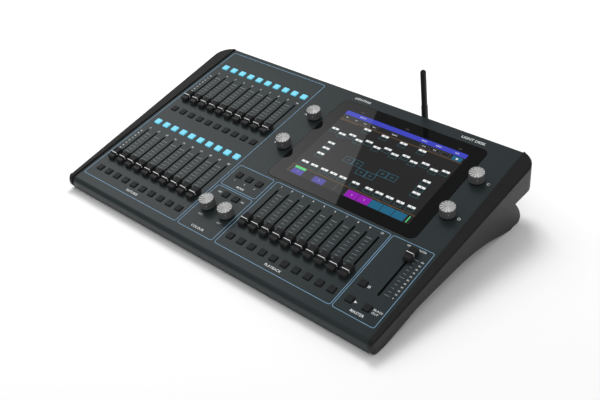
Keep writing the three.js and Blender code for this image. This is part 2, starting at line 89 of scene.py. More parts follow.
# ------------------------------------------------------------------ layout of the panel
FIXTURE_COLUMNS = [-0.03 + i for i in range(COLUMNS)]
PLAYBACK_COLUMNS = [14.27 + i for i in range(COLUMNS)]
MASTER_COLUMN = 26.06
BANK_STEP = 151.9
FADER_ROW = 77.0
FADER_TRAVEL = 60.0
SLOT = (3.1, 75.0)
KEY_HOLE = 10.4
KEY_SIZE = 9.6
GLASS = {"centre": (across(18.825), along(12.475)), "size": (234.8, 182.6), "corner": 9.0}
GLASS_TOP = 0.3
KNOB_RAYS = 12  # pressed into the disc on top of a knob; the disc's material also paints light and shade ray by ray
BOARD_LEVELS = (-15.8, -28.35)  # the middles of the circuit boards
BOARD_HALF_THICKNESS = 0.79
SHAFT_HOLE = 4.0
KEY_PLACES = {
    "upper_select_keys": [(c, 16.13) for c in FIXTURE_COLUMNS],
    "upper_flash_keys": [(c, 9.58) for c in FIXTURE_COLUMNS],
    "lower_select_keys": [(c, 7.593) for c in FIXTURE_COLUMNS],
    "lower_flash_keys": [(c, 1.075) for c in FIXTURE_COLUMNS],
    "playback_flash_keys": [(c, 1.075) for c in PLAYBACK_COLUMNS],
    "mode_and_colour_keys": [(10.625, 6.12), (11.625, 6.12), (12.625, 6.12), (11.125, 4.0), (12.125, 4.0)],
    "pause_key": [(24.71, 2.56)],
    "go_key": [(24.71, 1.075)],
    "blackout_key": [(MASTER_COLUMN, 1.075)],
}
KNOB_PLACES = {
    "encoder_knob_a": (11.43, 14.46),
    "encoder_knob_b": (11.43, 10.54),
    "encoder_knob_c": (26.15, 14.46),
    "encoder_knob_d": (26.15, 10.54),
    "hue_knob": (10.79, 2.43),
    "saturation_knob": (12.65, 2.43),
}
FADERS = (
    [("upper_fader_cap_%d" % (i + 1), c, BANK_STEP) for i, c in enumerate(FIXTURE_COLUMNS)]
    + [("lower_fader_cap_%d" % (i + 1), c, 0.0) for i, c in enumerate(FIXTURE_COLUMNS)]
    + [("playback_fader_cap_%d" % (i + 1), c, 0.0) for i, c in enumerate(PLAYBACK_COLUMNS)]
    + [("master_fader_cap", MASTER_COLUMN, 0.0)]
)


# ------------------------------------------------------------------ materials
class Tree:
    """A node tree, with a short way to add nodes; an input takes a value or another node's output."""

    def __init__(self, owner):
        owner.use_nodes = True
        self.nodes, self.links = owner.node_tree.nodes, owner.node_tree.links

    def feed(self, socket, value):
        if isinstance(value, bpy.types.NodeSocket):
            self.links.new(value, socket)
        else:
            socket.default_value = value

    def add(self, kind, inputs=(), **settings):
        node = self.nodes.new("ShaderNode" + kind)
        for key, value in settings.items():
            setattr(node, key, value)
        for socket, value in dict(inputs).items():
            self.feed(node.inputs[socket], value)
        return node

    def map_range(self, source, low, high, start=0.0, end=1.0):
        limits = {"From Min": start, "From Max": end, "To Min": low, "To Max": high}
        return self.add("MapRange", {"Value": source} | limits).outputs["Result"]

    def mix(self, fac, first, second):
        """A blend of two colours."""
        return self.add("Mix", {0: fac, 6: first, 7: second}, data_type="RGBA").outputs[2]


class Shader(Tree):
    """A Principled material built from nodes, in object coordinates measured in metres."""

    def __init__(self, name, color, roughness, metallic=0.0, specular=0.5):
        self.material = bpy.data.materials.new(name)
        super().__init__(self.material)
        self.sockets = self.nodes["Principled BSDF"].inputs
        self.color = (*color, 1.0)
        self.sockets["Base Color"].default_value = self.color
        self.sockets["Roughness"].default_value = roughness
        self.sockets["Metallic"].default_value = metallic
        self.sockets["Specular IOR Level"].default_value = specular
        self.place = self.add("TexCoord").outputs["Object"]

    def noise(self, scale, detail=3.0):
        inputs = {"Scale": scale, "Detail": detail, "Roughness": 0.6, "Vector": self.place}
        return self.add("TexNoise", inputs).outputs["Fac"]

    def spread(self, fac, low, high):
        """The middle of a noise's range, stretched to run from low to high."""
        return self.map_range(fac, low, high, 0.3, 0.7)

    def blend(self, fac, other):
        """Takes the base colour towards another one where fac is high."""
        links = self.sockets["Base Color"].links
        before = links[0].from_socket if links else self.color
        self.feed(self.sockets["Base Color"], self.mix(fac, before, other))

    def vary_roughness(self, fac, low, high):
        self.feed(self.sockets["Roughness"], self.spread(fac, low, high))

    def mottle(self, fac, other, share):
        self.blend(self.spread(fac, 0.0, share), (*other, 1.0))

    def bump(self, fac, distance, strength):
        inputs = {"Strength": strength, "Distance": distance, "Height": fac}
        self.feed(self.sockets["Normal"], self.add("Bump", inputs).outputs["Normal"])

    def wear_edges(self, lighter, share):
        """Edges that hands rub, a little paler where the surface is convex."""
        convex = self.add("NewGeometry").outputs["Pointiness"]
        self.blend(self.map_range(convex, 0.0, share, 0.52, 0.6), (*lighter, 1.0))

    def glow(self, color, strength):
        self.sockets["Emission Color"].default_value = (*color, 1.0)
        self.sockets["Emission Strength"].default_value = strength


def surface(
    name, color, roughness, metallic=0.0, specular=0.5,
    bump=None, gloss=None, mottle=None, wear=None, glow=None,
):
    """A material whose layers are all noise: bump (scale, distance, strength), gloss (scale, low, high)
    and mottle (scale, other colour, share). Each may end with the noise's detail."""
    shader = Shader(name, color, roughness, metallic, specular)
    for layer, apply in ((bump, shader.bump), (gloss, shader.vary_roughness), (mottle, shader.mottle)):
        if layer:
            scale, first, second, *detail = layer
            apply(shader.noise(scale, *detail), first, second)
    if wear:
        shader.wear_edges(*wear)
    if glow:
        shader.glow(*glow)
    return shader.material


def spun_aluminium():
    """Satin aluminium with the fine round grain of turning; light and shade are painted on ray by ray, pale
    to dark across each ray, in place of the facets' shading and reflected streaks.
    """
    shader = Shader("spun_aluminium", (0.68, 0.68, 0.675), 0.42, 0.35)
    inputs = {"Scale": 900.0, "Distortion": 0.6, "Vector": shader.place}
    rings = shader.add("TexWave", inputs, wave_type="RINGS", rings_direction="Z")
    shader.bump(rings.outputs["Fac"], 0.00001, 0.3)
    turn = shader.add("TexGradient", {"Vector": shader.place}, gradient_type="RADIAL").outputs["Fac"]
    rays = shader.add("Math", {0: turn, 1: KNOB_RAYS}, operation="MULTIPLY").outputs[0]
    painted_ray_shade = shader.add("Math", {0: rays}, operation="FRACT").outputs[0]
    # painted shade and highlight: the colour darkens across each ray, standing for how its facet catches and
    # loses the light
    shader.mottle(painted_ray_shade, (0.26, 0.26, 0.26), 0.7)
    shader.vary_roughness(shader.noise(400.0), 0.36, 0.5)
    return shader.material


def circuit_board():
    """Green solder mask with paler traces on the boards; the parts that stand on them are black."""
    shader = Shader("circuit_board", (0.011, 0.011, 0.012), 0.4)
    traces = shader.add("TexVoronoi", {"Scale": 160.0, "Vector": shader.place}, feature="DISTANCE_TO_EDGE")
    off_trace = shader.map_range(traces.outputs["Distance"], 0.0, 1.0, 0.0, 0.1)
    green = shader.mix(off_trace, (0.03, 0.12, 0.06, 1.0), (0.012, 0.07, 0.035, 1.0))
    position = shader.add("NewGeometry").outputs["Position"]
    height = shader.add("VectorMath", {0: position, 1: NORMAL}, operation="DOT_PRODUCT").outputs["Value"]
    bands = []
    for level in BOARD_LEVELS:
        middle = PANEL_ORIGIN.dot(NORMAL) + level * MM
        inputs = {0: height, 1: middle, 2: BOARD_HALF_THICKNESS * MM}
        bands.append(shader.add("Math", inputs, operation="COMPARE").outputs[0])
    shader.blend(shader.add("Math", dict(enumerate(bands)), operation="ADD").outputs[0], green)
    shader.vary_roughness(shader.noise(300.0), 0.3, 0.5)
    return shader.material


def silicone(name, color, roughness=0.55):
    gloss, lighter = (400, roughness - 0.08, roughness + 0.1), tuple(c * 1.35 for c in color)
    return surface(name, color, roughness, 0.0, 0.4, (1600, 0.00006, 0.4), gloss, (120, lighter, 0.5))


def ink(name, color):
    """Screen-printed ink, slightly uneven where the mesh left it thin."""
    thin = tuple(c * 0.8 for c in color)
    return surface(name, color, 0.55, bump=(3000, 0.00002, 0.4), mottle=(1500, thin, 0.7))


def screen_ink(name, color):
    """A lit patch of the display, under the cover glass's gloss."""
    return surface(name, (0.004, 0.004, 0.004), 0.06, gloss=SMEARS, glow=(color, 1.0))


def plated_steel():
    gloss, mottle = (700, 0.22, 0.42), (90, (0.36, 0.36, 0.37), 0.6)
    return surface("plated_steel", (0.5, 0.5, 0.5), 0.3, 1.0, gloss=gloss, mottle=mottle)


SMEARS = (22, 0.01, 0.03, 5.0)  # faint finger smears in the roughness of the glass
SCREEN_COLORS = {
    "display_dark": (0.0145, 0.0145, 0.0145),
    "display_blue": (0.045, 0.055, 0.5),
    "display_magenta": (0.28, 0.008, 0.42),
    "display_teal": (0.012, 0.12, 0.22),
    "display_cyan": (0.03, 0.11, 0.15),
    "display_green": (0.09, 0.6, 0.2),
    "display_indigo": (0.07, 0.06, 0.33),
    "display_white": (0.85, 0.87, 0.87),
    "display_orange": (0.16, 0.085, 0.035),
    "display_outline": (0.03, 0.12, 0.14),
    "display_grey": (0.09, 0.09, 0.09),
}
MATERIALS = {
    # fine-textured slate powder coat
    "painted_steel": surface(
        "powder_coat", (0.024, 0.031, 0.033), 0.28, specular=0.26,
        bump=(2600, 0.00004, 0.05, 2.0), gloss=(900, 0.27, 0.3), mottle=(14, (0.023, 0.0298, 0.0318), 0.6),
    ),
    # spark-eroded black plastic of the end cheeks
    "cheek_plastic": surface(
        "moulded_black", (0.0128, 0.0122, 0.0124), 0.5, specular=0.33,
        bump=(1800, 0.0001, 0.4, 4.0), gloss=(700, 0.42, 0.6), mottle=(30, (0.0165, 0.016, 0.016), 0.5),
    ),
    "touch_glass": surface("cover_glass", (0.004, 0.0042, 0.0042), 0.05, gloss=SMEARS),
    "display_frame": plated_steel(),
    "circuit_board": circuit_board(),
    "fader_plastic": surface(
        "fader_black", (0.0125, 0.0125, 0.0135), 0.45,
        bump=(2200, 0.00005, 0.4), gloss=(600, 0.36, 0.55), wear=((0.045, 0.045, 0.047), 0.5),
    ),
    "knob_body": surface(
        "knob_grip", (0.1, 0.1, 0.102), 0.38,
        bump=(1500, 0.00005, 0.3), gloss=(300, 0.3, 0.5), mottle=(60, (0.085, 0.085, 0.087), 0.6),
    ),
    "dark_key": silicone("dark_silicone", (0.0105, 0.0118, 0.0125)),
    # a cyan key with its lamp on
    "lit_key": surface(
        "lit_silicone", (0.1, 0.3, 0.36), 0.4,
        mottle=(500, (0.13, 0.36, 0.42), 0.6), glow=((0.12, 0.55, 0.76), 0.66),
    ),
    "rocker_plastic": silicone("rocker_black", (0.008, 0.008, 0.008), 0.3),
    "antenna_plastic": silicone("antenna_black", (0.012, 0.012, 0.0125), 0.5),
    "legend_ink": ink("legend_ink", (0.78, 0.8, 0.8)),
    "tick_ink": ink("tick_ink", (0.36, 0.38, 0.38)),
    "outline_ink": ink("outline_ink", (0.2, 0.38, 0.56)),
    "spun_aluminium": spun_aluminium(),
    "steel_fastener": plated_steel(),
    "pointer_white": surface("pointer_white", (0.78, 0.79, 0.8), 0.45, mottle=(500, (0.6, 0.6, 0.6), 0.5)),
    "foot_rubber": surface(
        "rubber", (0.016, 0.016, 0.016), 0.75, specular=0.3, bump=(900, 0.0001, 0.5), gloss=(200, 0.68, 0.85)
    ),
    "contact_gold": surface("gilded_contact", (0.75, 0.53, 0.2), 0.25, 1.0, gloss=(900, 0.2, 0.4)),
    **{name: screen_ink(name, color) for name, color in SCREEN_COLORS.items()},
}
SLOT_OF = {name: "display_image" for name in SCREEN_COLORS}
SLOT_OF |= {"contact_gold": "steel_fastener", "tick_ink": "legend_ink"}


# ------------------------------------------------------------------ mesh helpers
def placed(name, data):
    """Links a new object to the scene."""
    made = bpy.data.objects.new(name, data)
    bpy.context.scene.collection.objects.link(made)
    return made


def shown_mesh(holder):
    """The mesh that an object's modifiers or curve settings make; the object itself goes."""
    bpy.context.view_layer.update()
    result = bpy.data.meshes.new_from_object(holder.evaluated_get(bpy.context.evaluated_depsgraph_get()))
    bpy.data.objects.remove(holder)
    return result


def shade(mesh, sharp=32.0):
    """Smooth faces, with every edge steeper than the given angle kept sharp."""
    limit = math.radians(sharp)
    work = bmesh.new()
    work.from_mesh(mesh)
    bmesh.ops.recalc_face_normals(work, faces=work.faces)
    for face in work.faces:
        face.smooth = True
    for edge in work.edges:
        edge.smooth = len(edge.link_faces) == 2 and edge.calc_face_angle(0.0) < limit
    work.to_mesh(mesh)
    work.free()


def mesh_from(work, name, sharp=32.0):
    """Turns a bmesh drawn in millimetres into a mesh in metres."""
    bmesh.ops.scale(work, vec=(MM,) * 3, verts=work.verts)
    mesh = bpy.data.meshes.new(name)
    work.to_mesh(mesh)
    work.free()
    shade(mesh, sharp)
    return mesh


def piece(name, mesh, body, slot, matrix=PANEL, stands_for=(), shared=False):
    """Puts a mesh, in metres, or a bmesh, in millimetres, in the scene as a named piece that rides on a body.
    A shared mesh keeps its own frame."""
    if isinstance(mesh, bmesh.types.BMesh):
        mesh = mesh_from(mesh, name)
    if not shared:
        mesh.transform(matrix)
        matrix = Matrix()
    made = placed(name, mesh)
    made.matrix_world = matrix
    if not mesh.materials:
        mesh.materials.append(MATERIALS[slot])
    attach(made, body)
    if stands_for:
        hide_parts(*stands_for)


def baked(mesh, kind, **settings):
    """The mesh with one modifier applied."""
    holder = placed("holder", mesh)
    modifier = holder.modifiers.new(kind, kind)
    for key, value in settings.items():
        setattr(modifier, key, value)
    result = shown_mesh(holder)
    result.name = mesh.name
    return result


def beveled(mesh, width, segments=2, angle=30.0):
    """Bevels the edges, and weights the normals by area, so that large flat faces reflect as flat ones."""
    limits = {"limit_method": "ANGLE", "angle_limit": math.radians(angle), "harden_normals": False}
    result = baked(mesh, "BEVEL", width=width * MM, segments=segments, **limits)
    shade(result)
    return baked(result, "WEIGHTED_NORMAL", keep_sharp=True, weight=100)


def carved(mesh, tool, operation="DIFFERENCE"):
    other = placed("tool", tool)
    bpy.context.view_layer.update()
    result = baked(mesh, "BOOLEAN", object=other, operation=operation, solver="EXACT")
    bpy.data.objects.remove(other)
    return result


def arc_points(x, y, radius, start, end, steps):
    """Points along an arc; angles in degrees."""
    turn = [math.radians(start + (end - start) * i / steps) for i in range(steps + 1)]
    return [(x + radius * math.cos(a), y + radius * math.sin(a)) for a in turn]


def quadratic(start, control, end, steps):
    """Points along a quadratic curve, without its first point."""
    def point(t):
        weights = ((1 - t) ** 2, 2 * t * (1 - t), t * t)
        return tuple(sum(w * p for w, p in zip(weights, axis)) for axis in zip(start, control, end))
    return [point(i / steps) for i in range(1, steps + 1)]


def rounded(x, y, width, length, corner=0.0, steps=6):
    """A rectangle's outline about its centre, with round corners."""
    left, right, front, rear = x - width / 2, x + width / 2, y - length / 2, y + length / 2
    if not corner:
        return [(left, front), (right, front), (right, rear), (left, rear)]
    low, high, near, far = left + corner, right - corner, front + corner, rear - corner
    points = []
    for i, centre in enumerate(((high, near), (high, far), (low, far), (low, near))):
        points += arc_points(*centre, corner, 90 * i - 90, 90 * i, steps)
    return points


def circle(x, y, radius, steps=32):
    return arc_points(x, y, radius, 0, 360 - 360 / steps, steps - 1)


def sheet_with_holes(outlines, low, high):
    """A flat sheet as a bmesh: the first outline is its edge and the others are holes."""
    curve = bpy.data.curves.new("outline", "CURVE")
    curve.dimensions = "2D"
    curve.fill_mode = "BOTH"
    curve.extrude = (high - low) / 2
    for points in outlines:
        spline = curve.splines.new("POLY")
        spline.points.add(len(points) - 1)
        for target, (x, y) in zip(spline.points, points):
            target.co = (x, y, 0, 1)
        spline.use_cyclic_u = True
    mesh = shown_mesh(placed("outline", curve))
    work = bmesh.new()
    work.from_mesh(mesh)
    bmesh.ops.translate(work, vec=(0, 0, (low + high) / 2), verts=work.verts)
    bmesh.ops.remove_doubles(work, verts=work.verts, dist=1e-4)
    bpy.data.curves.remove(curve)
    bpy.data.meshes.remove(mesh)
    return work


def chamfer_rims(work, level, width, keep):
    """Bevels the right-angled edges that lie at one level and that keep() accepts."""
    def is_rim(edge):
        flat = all(abs(v.co.z - level) < 1e-3 for v in edge.verts)
        return flat and len(edge.link_faces) == 2 and edge.calc_face_angle(0.0) > 1.0 and keep(edge)
    rims = [edge for edge in work.edges if is_rim(edge)]
    bmesh.ops.bevel(work, geom=rims, offset=width, segments=2, affect="EDGES", clamp_overlap=True)


def fold(work, profile):
    """Sweeps an open side view, as (y, z), across the panel; its two long edges stay open for welding."""
    sides = (-PANEL_HALF_WIDTH, PANEL_HALF_WIDTH)
    rows = [[work.verts.new((x, y, z)) for y, z in profile] for x in sides]
    for i in range(len(profile) - 1):
        work.faces.new((rows[0][i], rows[1][i], rows[1][i + 1], rows[0][i + 1]))
    for row in rows:
        work.faces.new(row)


def ring_at(work, outline, z):
    """New vertices along a plan outline, at one height."""
    return [work.verts.new((x, y, z)) for x, y in outline]


def bridge(work, low, high):
    """A closed band of faces between two rings of vertices."""
    for i in range(len(low)):
        j = (i + 1) % len(low)
        work.faces.new((low[i], low[j], high[j], high[i]))


def prism(outline, low, high):
    """A closed prism from a plan outline, as a bmesh."""
    work = bmesh.new()
    rings = [ring_at(work, outline, z) for z in (low, high)]
    work.faces.new(reversed(rings[0]))
    work.faces.new(rings[1])
    bridge(work, *rings)
    return work


def side_prism(outline, left, right):
    """A closed prism from a side view, as (y, z), drawn out along X."""
    work = prism(outline, left, right)
    for vert in work.verts:
        y, z, x = vert.co
        vert.co = (x, y, z)
    return work


def lathe(profile, steps=48, shape=None):
    """A closed turned solid about Z from (radius, z) pairs; shape may set a ring's radius and lift."""
    work = bmesh.new()
    rings = []
    for index, (radius, z) in enumerate(profile):
        if radius == 0:
            rings.append([work.verts.new((0, 0, z))])
            continue
        ring = []
        for step in range(steps):
            angle = 2 * math.pi * step / steps
            r, lift = shape(index, angle, radius) if shape else (radius, 0.0)
            ring.append(work.verts.new((r * math.cos(angle), r * math.sin(angle), z + lift)))
        rings.append(ring)
    for low, high in zip(rings, rings[1:]):
        for i in range(steps):
            j = (i + 1) % steps
            corners = [low[i % len(low)], low[j % len(low)], high[j % len(high)], high[i % len(high)]]
            work.faces.new(list(dict.fromkeys(corners)))
    return work


def laid_over(work, axis, shift):
    """Turns a bmesh a quarter turn about an axis, then moves it."""
    bmesh.ops.rotate(work, verts=work.verts, cent=(0, 0, 0), matrix=Matrix.Rotation(math.pi / 2, 3, axis))
    bmesh.ops.translate(work, verts=work.verts, vec=shift)
    return work


def boxes(work, *places):
    """Adds boxes to a bmesh; each is (x, y, z, width, length, height) about its centre."""
    for x, y, z, width, length, height in places:
        matrix = Matrix.Translation((x, y, z)) @ Matrix.Diagonal((width, length, height, 1))
        bmesh.ops.create_cube(work, size=1.0, matrix=matrix)
    return work


def merge(target, source):
    """Adds one bmesh to another and frees it."""
    mesh = bpy.data.meshes.new("part")
    source.to_mesh(mesh)
    source.free()
    target.from_mesh(mesh)
    bpy.data.meshes.remove(mesh)


# ------------------------------------------------------------------ sheet-metal casing
def weld_open_edge(work, y):
    """Removes the wall at one row, so that a fold can be welded on there."""
    def on_wall(face):
        return all(abs(v.co.y - y) < 1e-3 for v in face.verts)
    bmesh.ops.delete(work, geom=[f for f in work.faces if on_wall(f)], context="FACES")


def top_panel():
    roll_start = FRONT_FACE + ROLL_RADIUS
    bend, lip = 2.2, -8  # outer radius of the bend along the rear edge, and where its lip ends
    rear = PANEL_REAR - bend
    outlines = [rounded(0, (roll_start + rear) / 2, 2 * PANEL_HALF_WIDTH, rear - roll_start)]
    outlines += [rounded(across(c), FADER_ROW + step, *SLOT, SLOT[0] / 2 - 0.05, 4) for _, c, step in FADERS]
    for places in KEY_PLACES.values():
        outlines += [rounded(across(c), along(r), KEY_HOLE, KEY_HOLE, 1.0, 3) for c, r in places]
    outlines += [circle(across(c), along(r), SHAFT_HOLE) for c, r in KNOB_PLACES.values()]
    gap = 0.4  # round the glass
    width, length = GLASS["size"]
    outlines.append(rounded(*GLASS["centre"], width + 2 * gap, length + 2 * gap, GLASS["corner"] + gap, 10))
    work = sheet_with_holes(outlines, -PANEL_THICKNESS, 0)

    def inside(edge):
        ys = [v.co.y for v in edge.verts]
        xs = [abs(v.co.x) for v in edge.verts]
        return roll_start + 1 < min(ys) and max(ys) < rear - 1 and max(xs) < PANEL_HALF_WIDTH - 1
    chamfer_rims(work, 0.0, 0.22, inside)
    weld_open_edge(work, roll_start)
    weld_open_edge(work, rear)
    front = arc_points(roll_start, -ROLL_RADIUS, ROLL_RADIUS, 90, 180, 18)
    front += [(FRONT_FACE, SKIRT_BOTTOM), (FRONT_FACE + PANEL_THICKNESS, SKIRT_BOTTOM)]
    front += arc_points(roll_start, -ROLL_RADIUS, ROLL_RADIUS - PANEL_THICKNESS, 180, 90, 18)
    fold(work, front)
    back = arc_points(rear, -bend, bend, 90, 0, 6) + [(PANEL_REAR, lip), (PANEL_REAR - PANEL_THICKNESS, lip)]
    back += arc_points(rear, -bend, bend - PANEL_THICKNESS, 0, 90, 2)
    fold(work, back)
    bmesh.ops.remove_doubles(work, verts=work.verts, dist=2e-3)
    sheet = mesh_from(work, "panel_sheet", 12)
    piece("panel_sheet", sheet, "desk", "painted_steel", stands_for=["top_panel"])


PAN_OUTLINE = [(62, -20), (110, -26), (154, -31), (270, -34.3), (321.5, -44)]
VENTS = {"rows": (176, 214), "columns": 15, "first": 70, "step": 9, "size": (3.2, 26, 12)}


def pan_slope(y):
    """The height of the pan's sloping middle at a row, and its tilt."""
    (y0, z0), (y1, z1) = PAN_OUTLINE[2], PAN_OUTLINE[3]
    tilt = math.atan2(z1 - z0, y1 - y0)
    return z0 + (y - y0) * math.tan(tilt), tilt


def bottom_pan():
    face, top, bottom, corner, sheet = -20.0, -13.0, -19.98, 2.5, 1.5
    turn = (face + corner, bottom + corner)
    outer = [(face, top)] + arc_points(*turn, corner, 180, 270, 8) + PAN_OUTLINE
    inner = [(y, z + sheet) for y, z in reversed(PAN_OUTLINE)]
    inner += arc_points(*turn, corner - sheet, 270, 180, 8) + [(face + sheet, top)]
    mesh = mesh_from(side_prism(outer + inner, -PANEL_HALF_WIDTH, PANEL_HALF_WIDTH), "bottom_sheet")
    slots = bmesh.new()
    for row in VENTS["rows"]:
        for column in range(VENTS["columns"]):
            x = VENTS["first"] + VENTS["step"] * column
            boxes(slots, *((side * x, row, pan_slope(row)[0], *VENTS["size"]) for side in (-1, 1)))
    vented = carved(mesh, mesh_from(slots, "vent_tool"))
    shade(vented, 20)
    piece("bottom_sheet", vented, "desk", "painted_steel", stands_for=["bottom_pan"])


# ------------------------------------------------------------------ moulded end cheeks
CHEEK = {"inner": 256.2, "top": 2.0, "front_width": 7.99, "taper": 13.3 / 302.6, "corner": 28.0, "round": 2.2}
BEFORE_ROUNDING = 5  # spare size of the two solids whose overlap is the cheek
FOOT_PAD = 1.0


def cheek_outline():
    """The cheek's side view; its two standing faces stop short of the ground, for the rubber pads."""
    nose_radius, nose_front = 10.0, -21.98
    g = from_ground
    points = [(PANEL_REAR, CHEEK["top"])]
    points += arc_points(nose_front + nose_radius, CHEEK["top"] - nose_radius, nose_radius, 90, 180, 16)
    points += quadratic(points[-1], (nose_front, -17.9), g(-8, FOOT_PAD), 8)
    points += [g(3, FOOT_PAD), g(15.1, 3.4), g(62.7, 14.4)]
    points += quadratic(points[-1], g(105, 19), g(157, 20.6), 12)
    points += quadratic(points[-1], g(200, 20.5), g(231, 11.4), 12)
    points += [g(266, FOOT_PAD + 0.6), g(270, FOOT_PAD), g(295.5, FOOT_PAD)]
    points += quadratic(points[-1], g(299, 4), g(298.5, 9), 8)
    points += quadratic(points[-1], g(296, 21), g(276.8, 41.5), 16)
    points += [g(328.6, 45.5)]
    return points


def cheek_plan():
    inner, corner = CHEEK["inner"], CHEEK["corner"]
    def outer(y):
        return inner + CHEEK["front_width"] + CHEEK["taper"] * y
    nose, bevel, rear = -24, -16, PANEL_REAR - corner
    points = [(inner, nose), (outer(nose) - 3, nose), (outer(bevel), bevel)]
    centre = outer(rear) - corner
    end = math.degrees(math.acos((inner - centre) / corner))
    return points + arc_points(centre, rear, corner, 0, end, 20)


def round_outer_edge(mesh):
    """Rounds the edge between the cheek's top and its outer face, all along."""
    work = bmesh.new()
    work.from_mesh(mesh)
    def outer(vert):
        return vert.co.z > (CHEEK["top"] - 0.05) * MM and vert.co.x > (CHEEK["inner"] + 0.2) * MM
    edges = [e for e in work.edges if all(outer(v) for v in e.verts) and e.calc_face_angle(0.0) > 1.0]
    bmesh.ops.bevel(work, geom=edges, offset=CHEEK["round"] * MM, segments=5, profile=0.5, affect="EDGES")
    work.to_mesh(mesh)
    work.free()


def end_cheeks():
    widest = CHEEK["inner"] + CHEEK["front_width"] + CHEEK["taper"] * PANEL_REAR + BEFORE_ROUNDING
    side = mesh_from(side_prism(cheek_outline(), CHEEK["inner"], widest), "cheek_side")
    plan = mesh_from(prism(cheek_plan(), -110, CHEEK["top"] + BEFORE_ROUNDING), "cheek_plan")
    solid = carved(side, plan, "INTERSECT")
    round_outer_edge(solid)
    solid = beveled(solid, 0.9, 3, 40)
    mirrored = solid.copy()
    mirrored.transform(Matrix.Diagonal((-1, 1, 1, 1)))
    mirrored.flip_normals()
    shade(mirrored)
    piece("right_cheek_moulding", solid, "desk", "cheek_plastic", stands_for=["right_end_cheek"])
    piece("left_cheek_moulding", mirrored, "desk", "cheek_plastic", stands_for=["left_end_cheek"])


def foot_pads():
    """Thin rubber pads under the two feet and the two noses, flush with the ground."""
    ground = Matrix.Translation((0, PANEL_ORIGIN.y, 0))
    for name, x, y, width, length in (("foot", 270.5, 282.7, 11, 22), ("nose", 260.2, -2.4, 5, 9)):
        for label, side in (("right", 1), ("left", -1)):
            work = prism(rounded(side * x, y, width, length, 2.2, 5), 0.0, FOOT_PAD + 0.3)
            mesh = beveled(mesh_from(work, "pad"), 0.25, 2)
            piece(f"{label}_{name}_pad", mesh, "desk", "foot_rubber", ground)


# ------------------------------------------------------------------ display
def glass_cover():
    outline = rounded(*GLASS["centre"], *GLASS["size"], GLASS["corner"], 12)
    work = prism(outline, -PANEL_THICKNESS, GLASS_TOP)
    mesh = beveled(mesh_from(work, "cover_glass"), 0.35, 3, 40)
    piece("cover_glass", mesh, "desk", "touch_glass", stands_for=["touch_glass"])


SCREEN = {"left": 13.33, "right": 24.33, "front": 8.37, "rear": 16.5}
LAYER = 0.012  # each layer of the picture stands this far above the one below it


def patches(name, slot, layer, areas):
    """Flat patches of the display picture as one thin piece; areas are (left, right, front, rear)."""
    work = bmesh.new()
    high = GLASS_TOP + layer * LAYER
    for left, right, front, rear in areas:
        width, length = (right - left) * PITCH, (rear - front) * PITCH
        centre = (across((left + right) / 2), along((front + rear) / 2))
        merge(work, prism(rounded(*centre, width, length), high - LAYER, high))
    piece(name, work, "desk", slot)


def frames(areas, line=0.035):
    """The four thin sides of each area, as areas of their own."""
    made = []
    for left, right, front, rear in areas:
        made += [(left, right, rear - line, rear), (left, right, front, front + line)]
        made += [(left, left + line, front, rear), (right - line, right, front, rear)]
    return made


ICON_ROWS = (
    (15.25, (16.13, 17.78, 19.47, 21.15)),
    (14.15, (13.79, 15.47, 17.06, 18.78, 20.42, 22.12, 23.83)),
    (13.88, (14.65, 16.26, 17.94, 19.58, 21.25, 22.99)),
    (12.6, (14.55, 23.18)),
    (11.91, (14.55, 23.18)),
    (11.22, (14.55, 23.18)),
    (9.9, (14.08, 14.97, 15.94, 16.79, 17.66, 18.83, 20.02, 20.91, 21.8, 22.71, 23.64)),
)
ICONS = [(column, row) for row, columns in ICON_ROWS for column in columns]
TITLE_WORDS = (("SHOW 1", 15.0), ("PAGE 1", 20.7), ("READY", 21.95), ("12:00", 23.5))
TRUSS_BOXES = [(16.5, 18.1, 11.35, 12.0), (18.1, 19.7, 10.7, 11.35), (19.55, 21.2, 11.35, 12.0)]


def screen_words(name, slot, words):
    """Small generic words on the display; each is (text, column, row, size)."""
    work = bmesh.new()
    for text, column, row, size in words:
        glyphs(work, text, across(column), along(row), size)
    piece(name, work, "desk", slot, at(0, 0, GLASS_TOP + 4 * LAYER + LEGEND_HIGH / 2))


def about(places, left, right, front, rear):
    """One area, the same size each time, round every place."""
    return [(c + left, c + right, r + front, r + rear) for c, r in places]


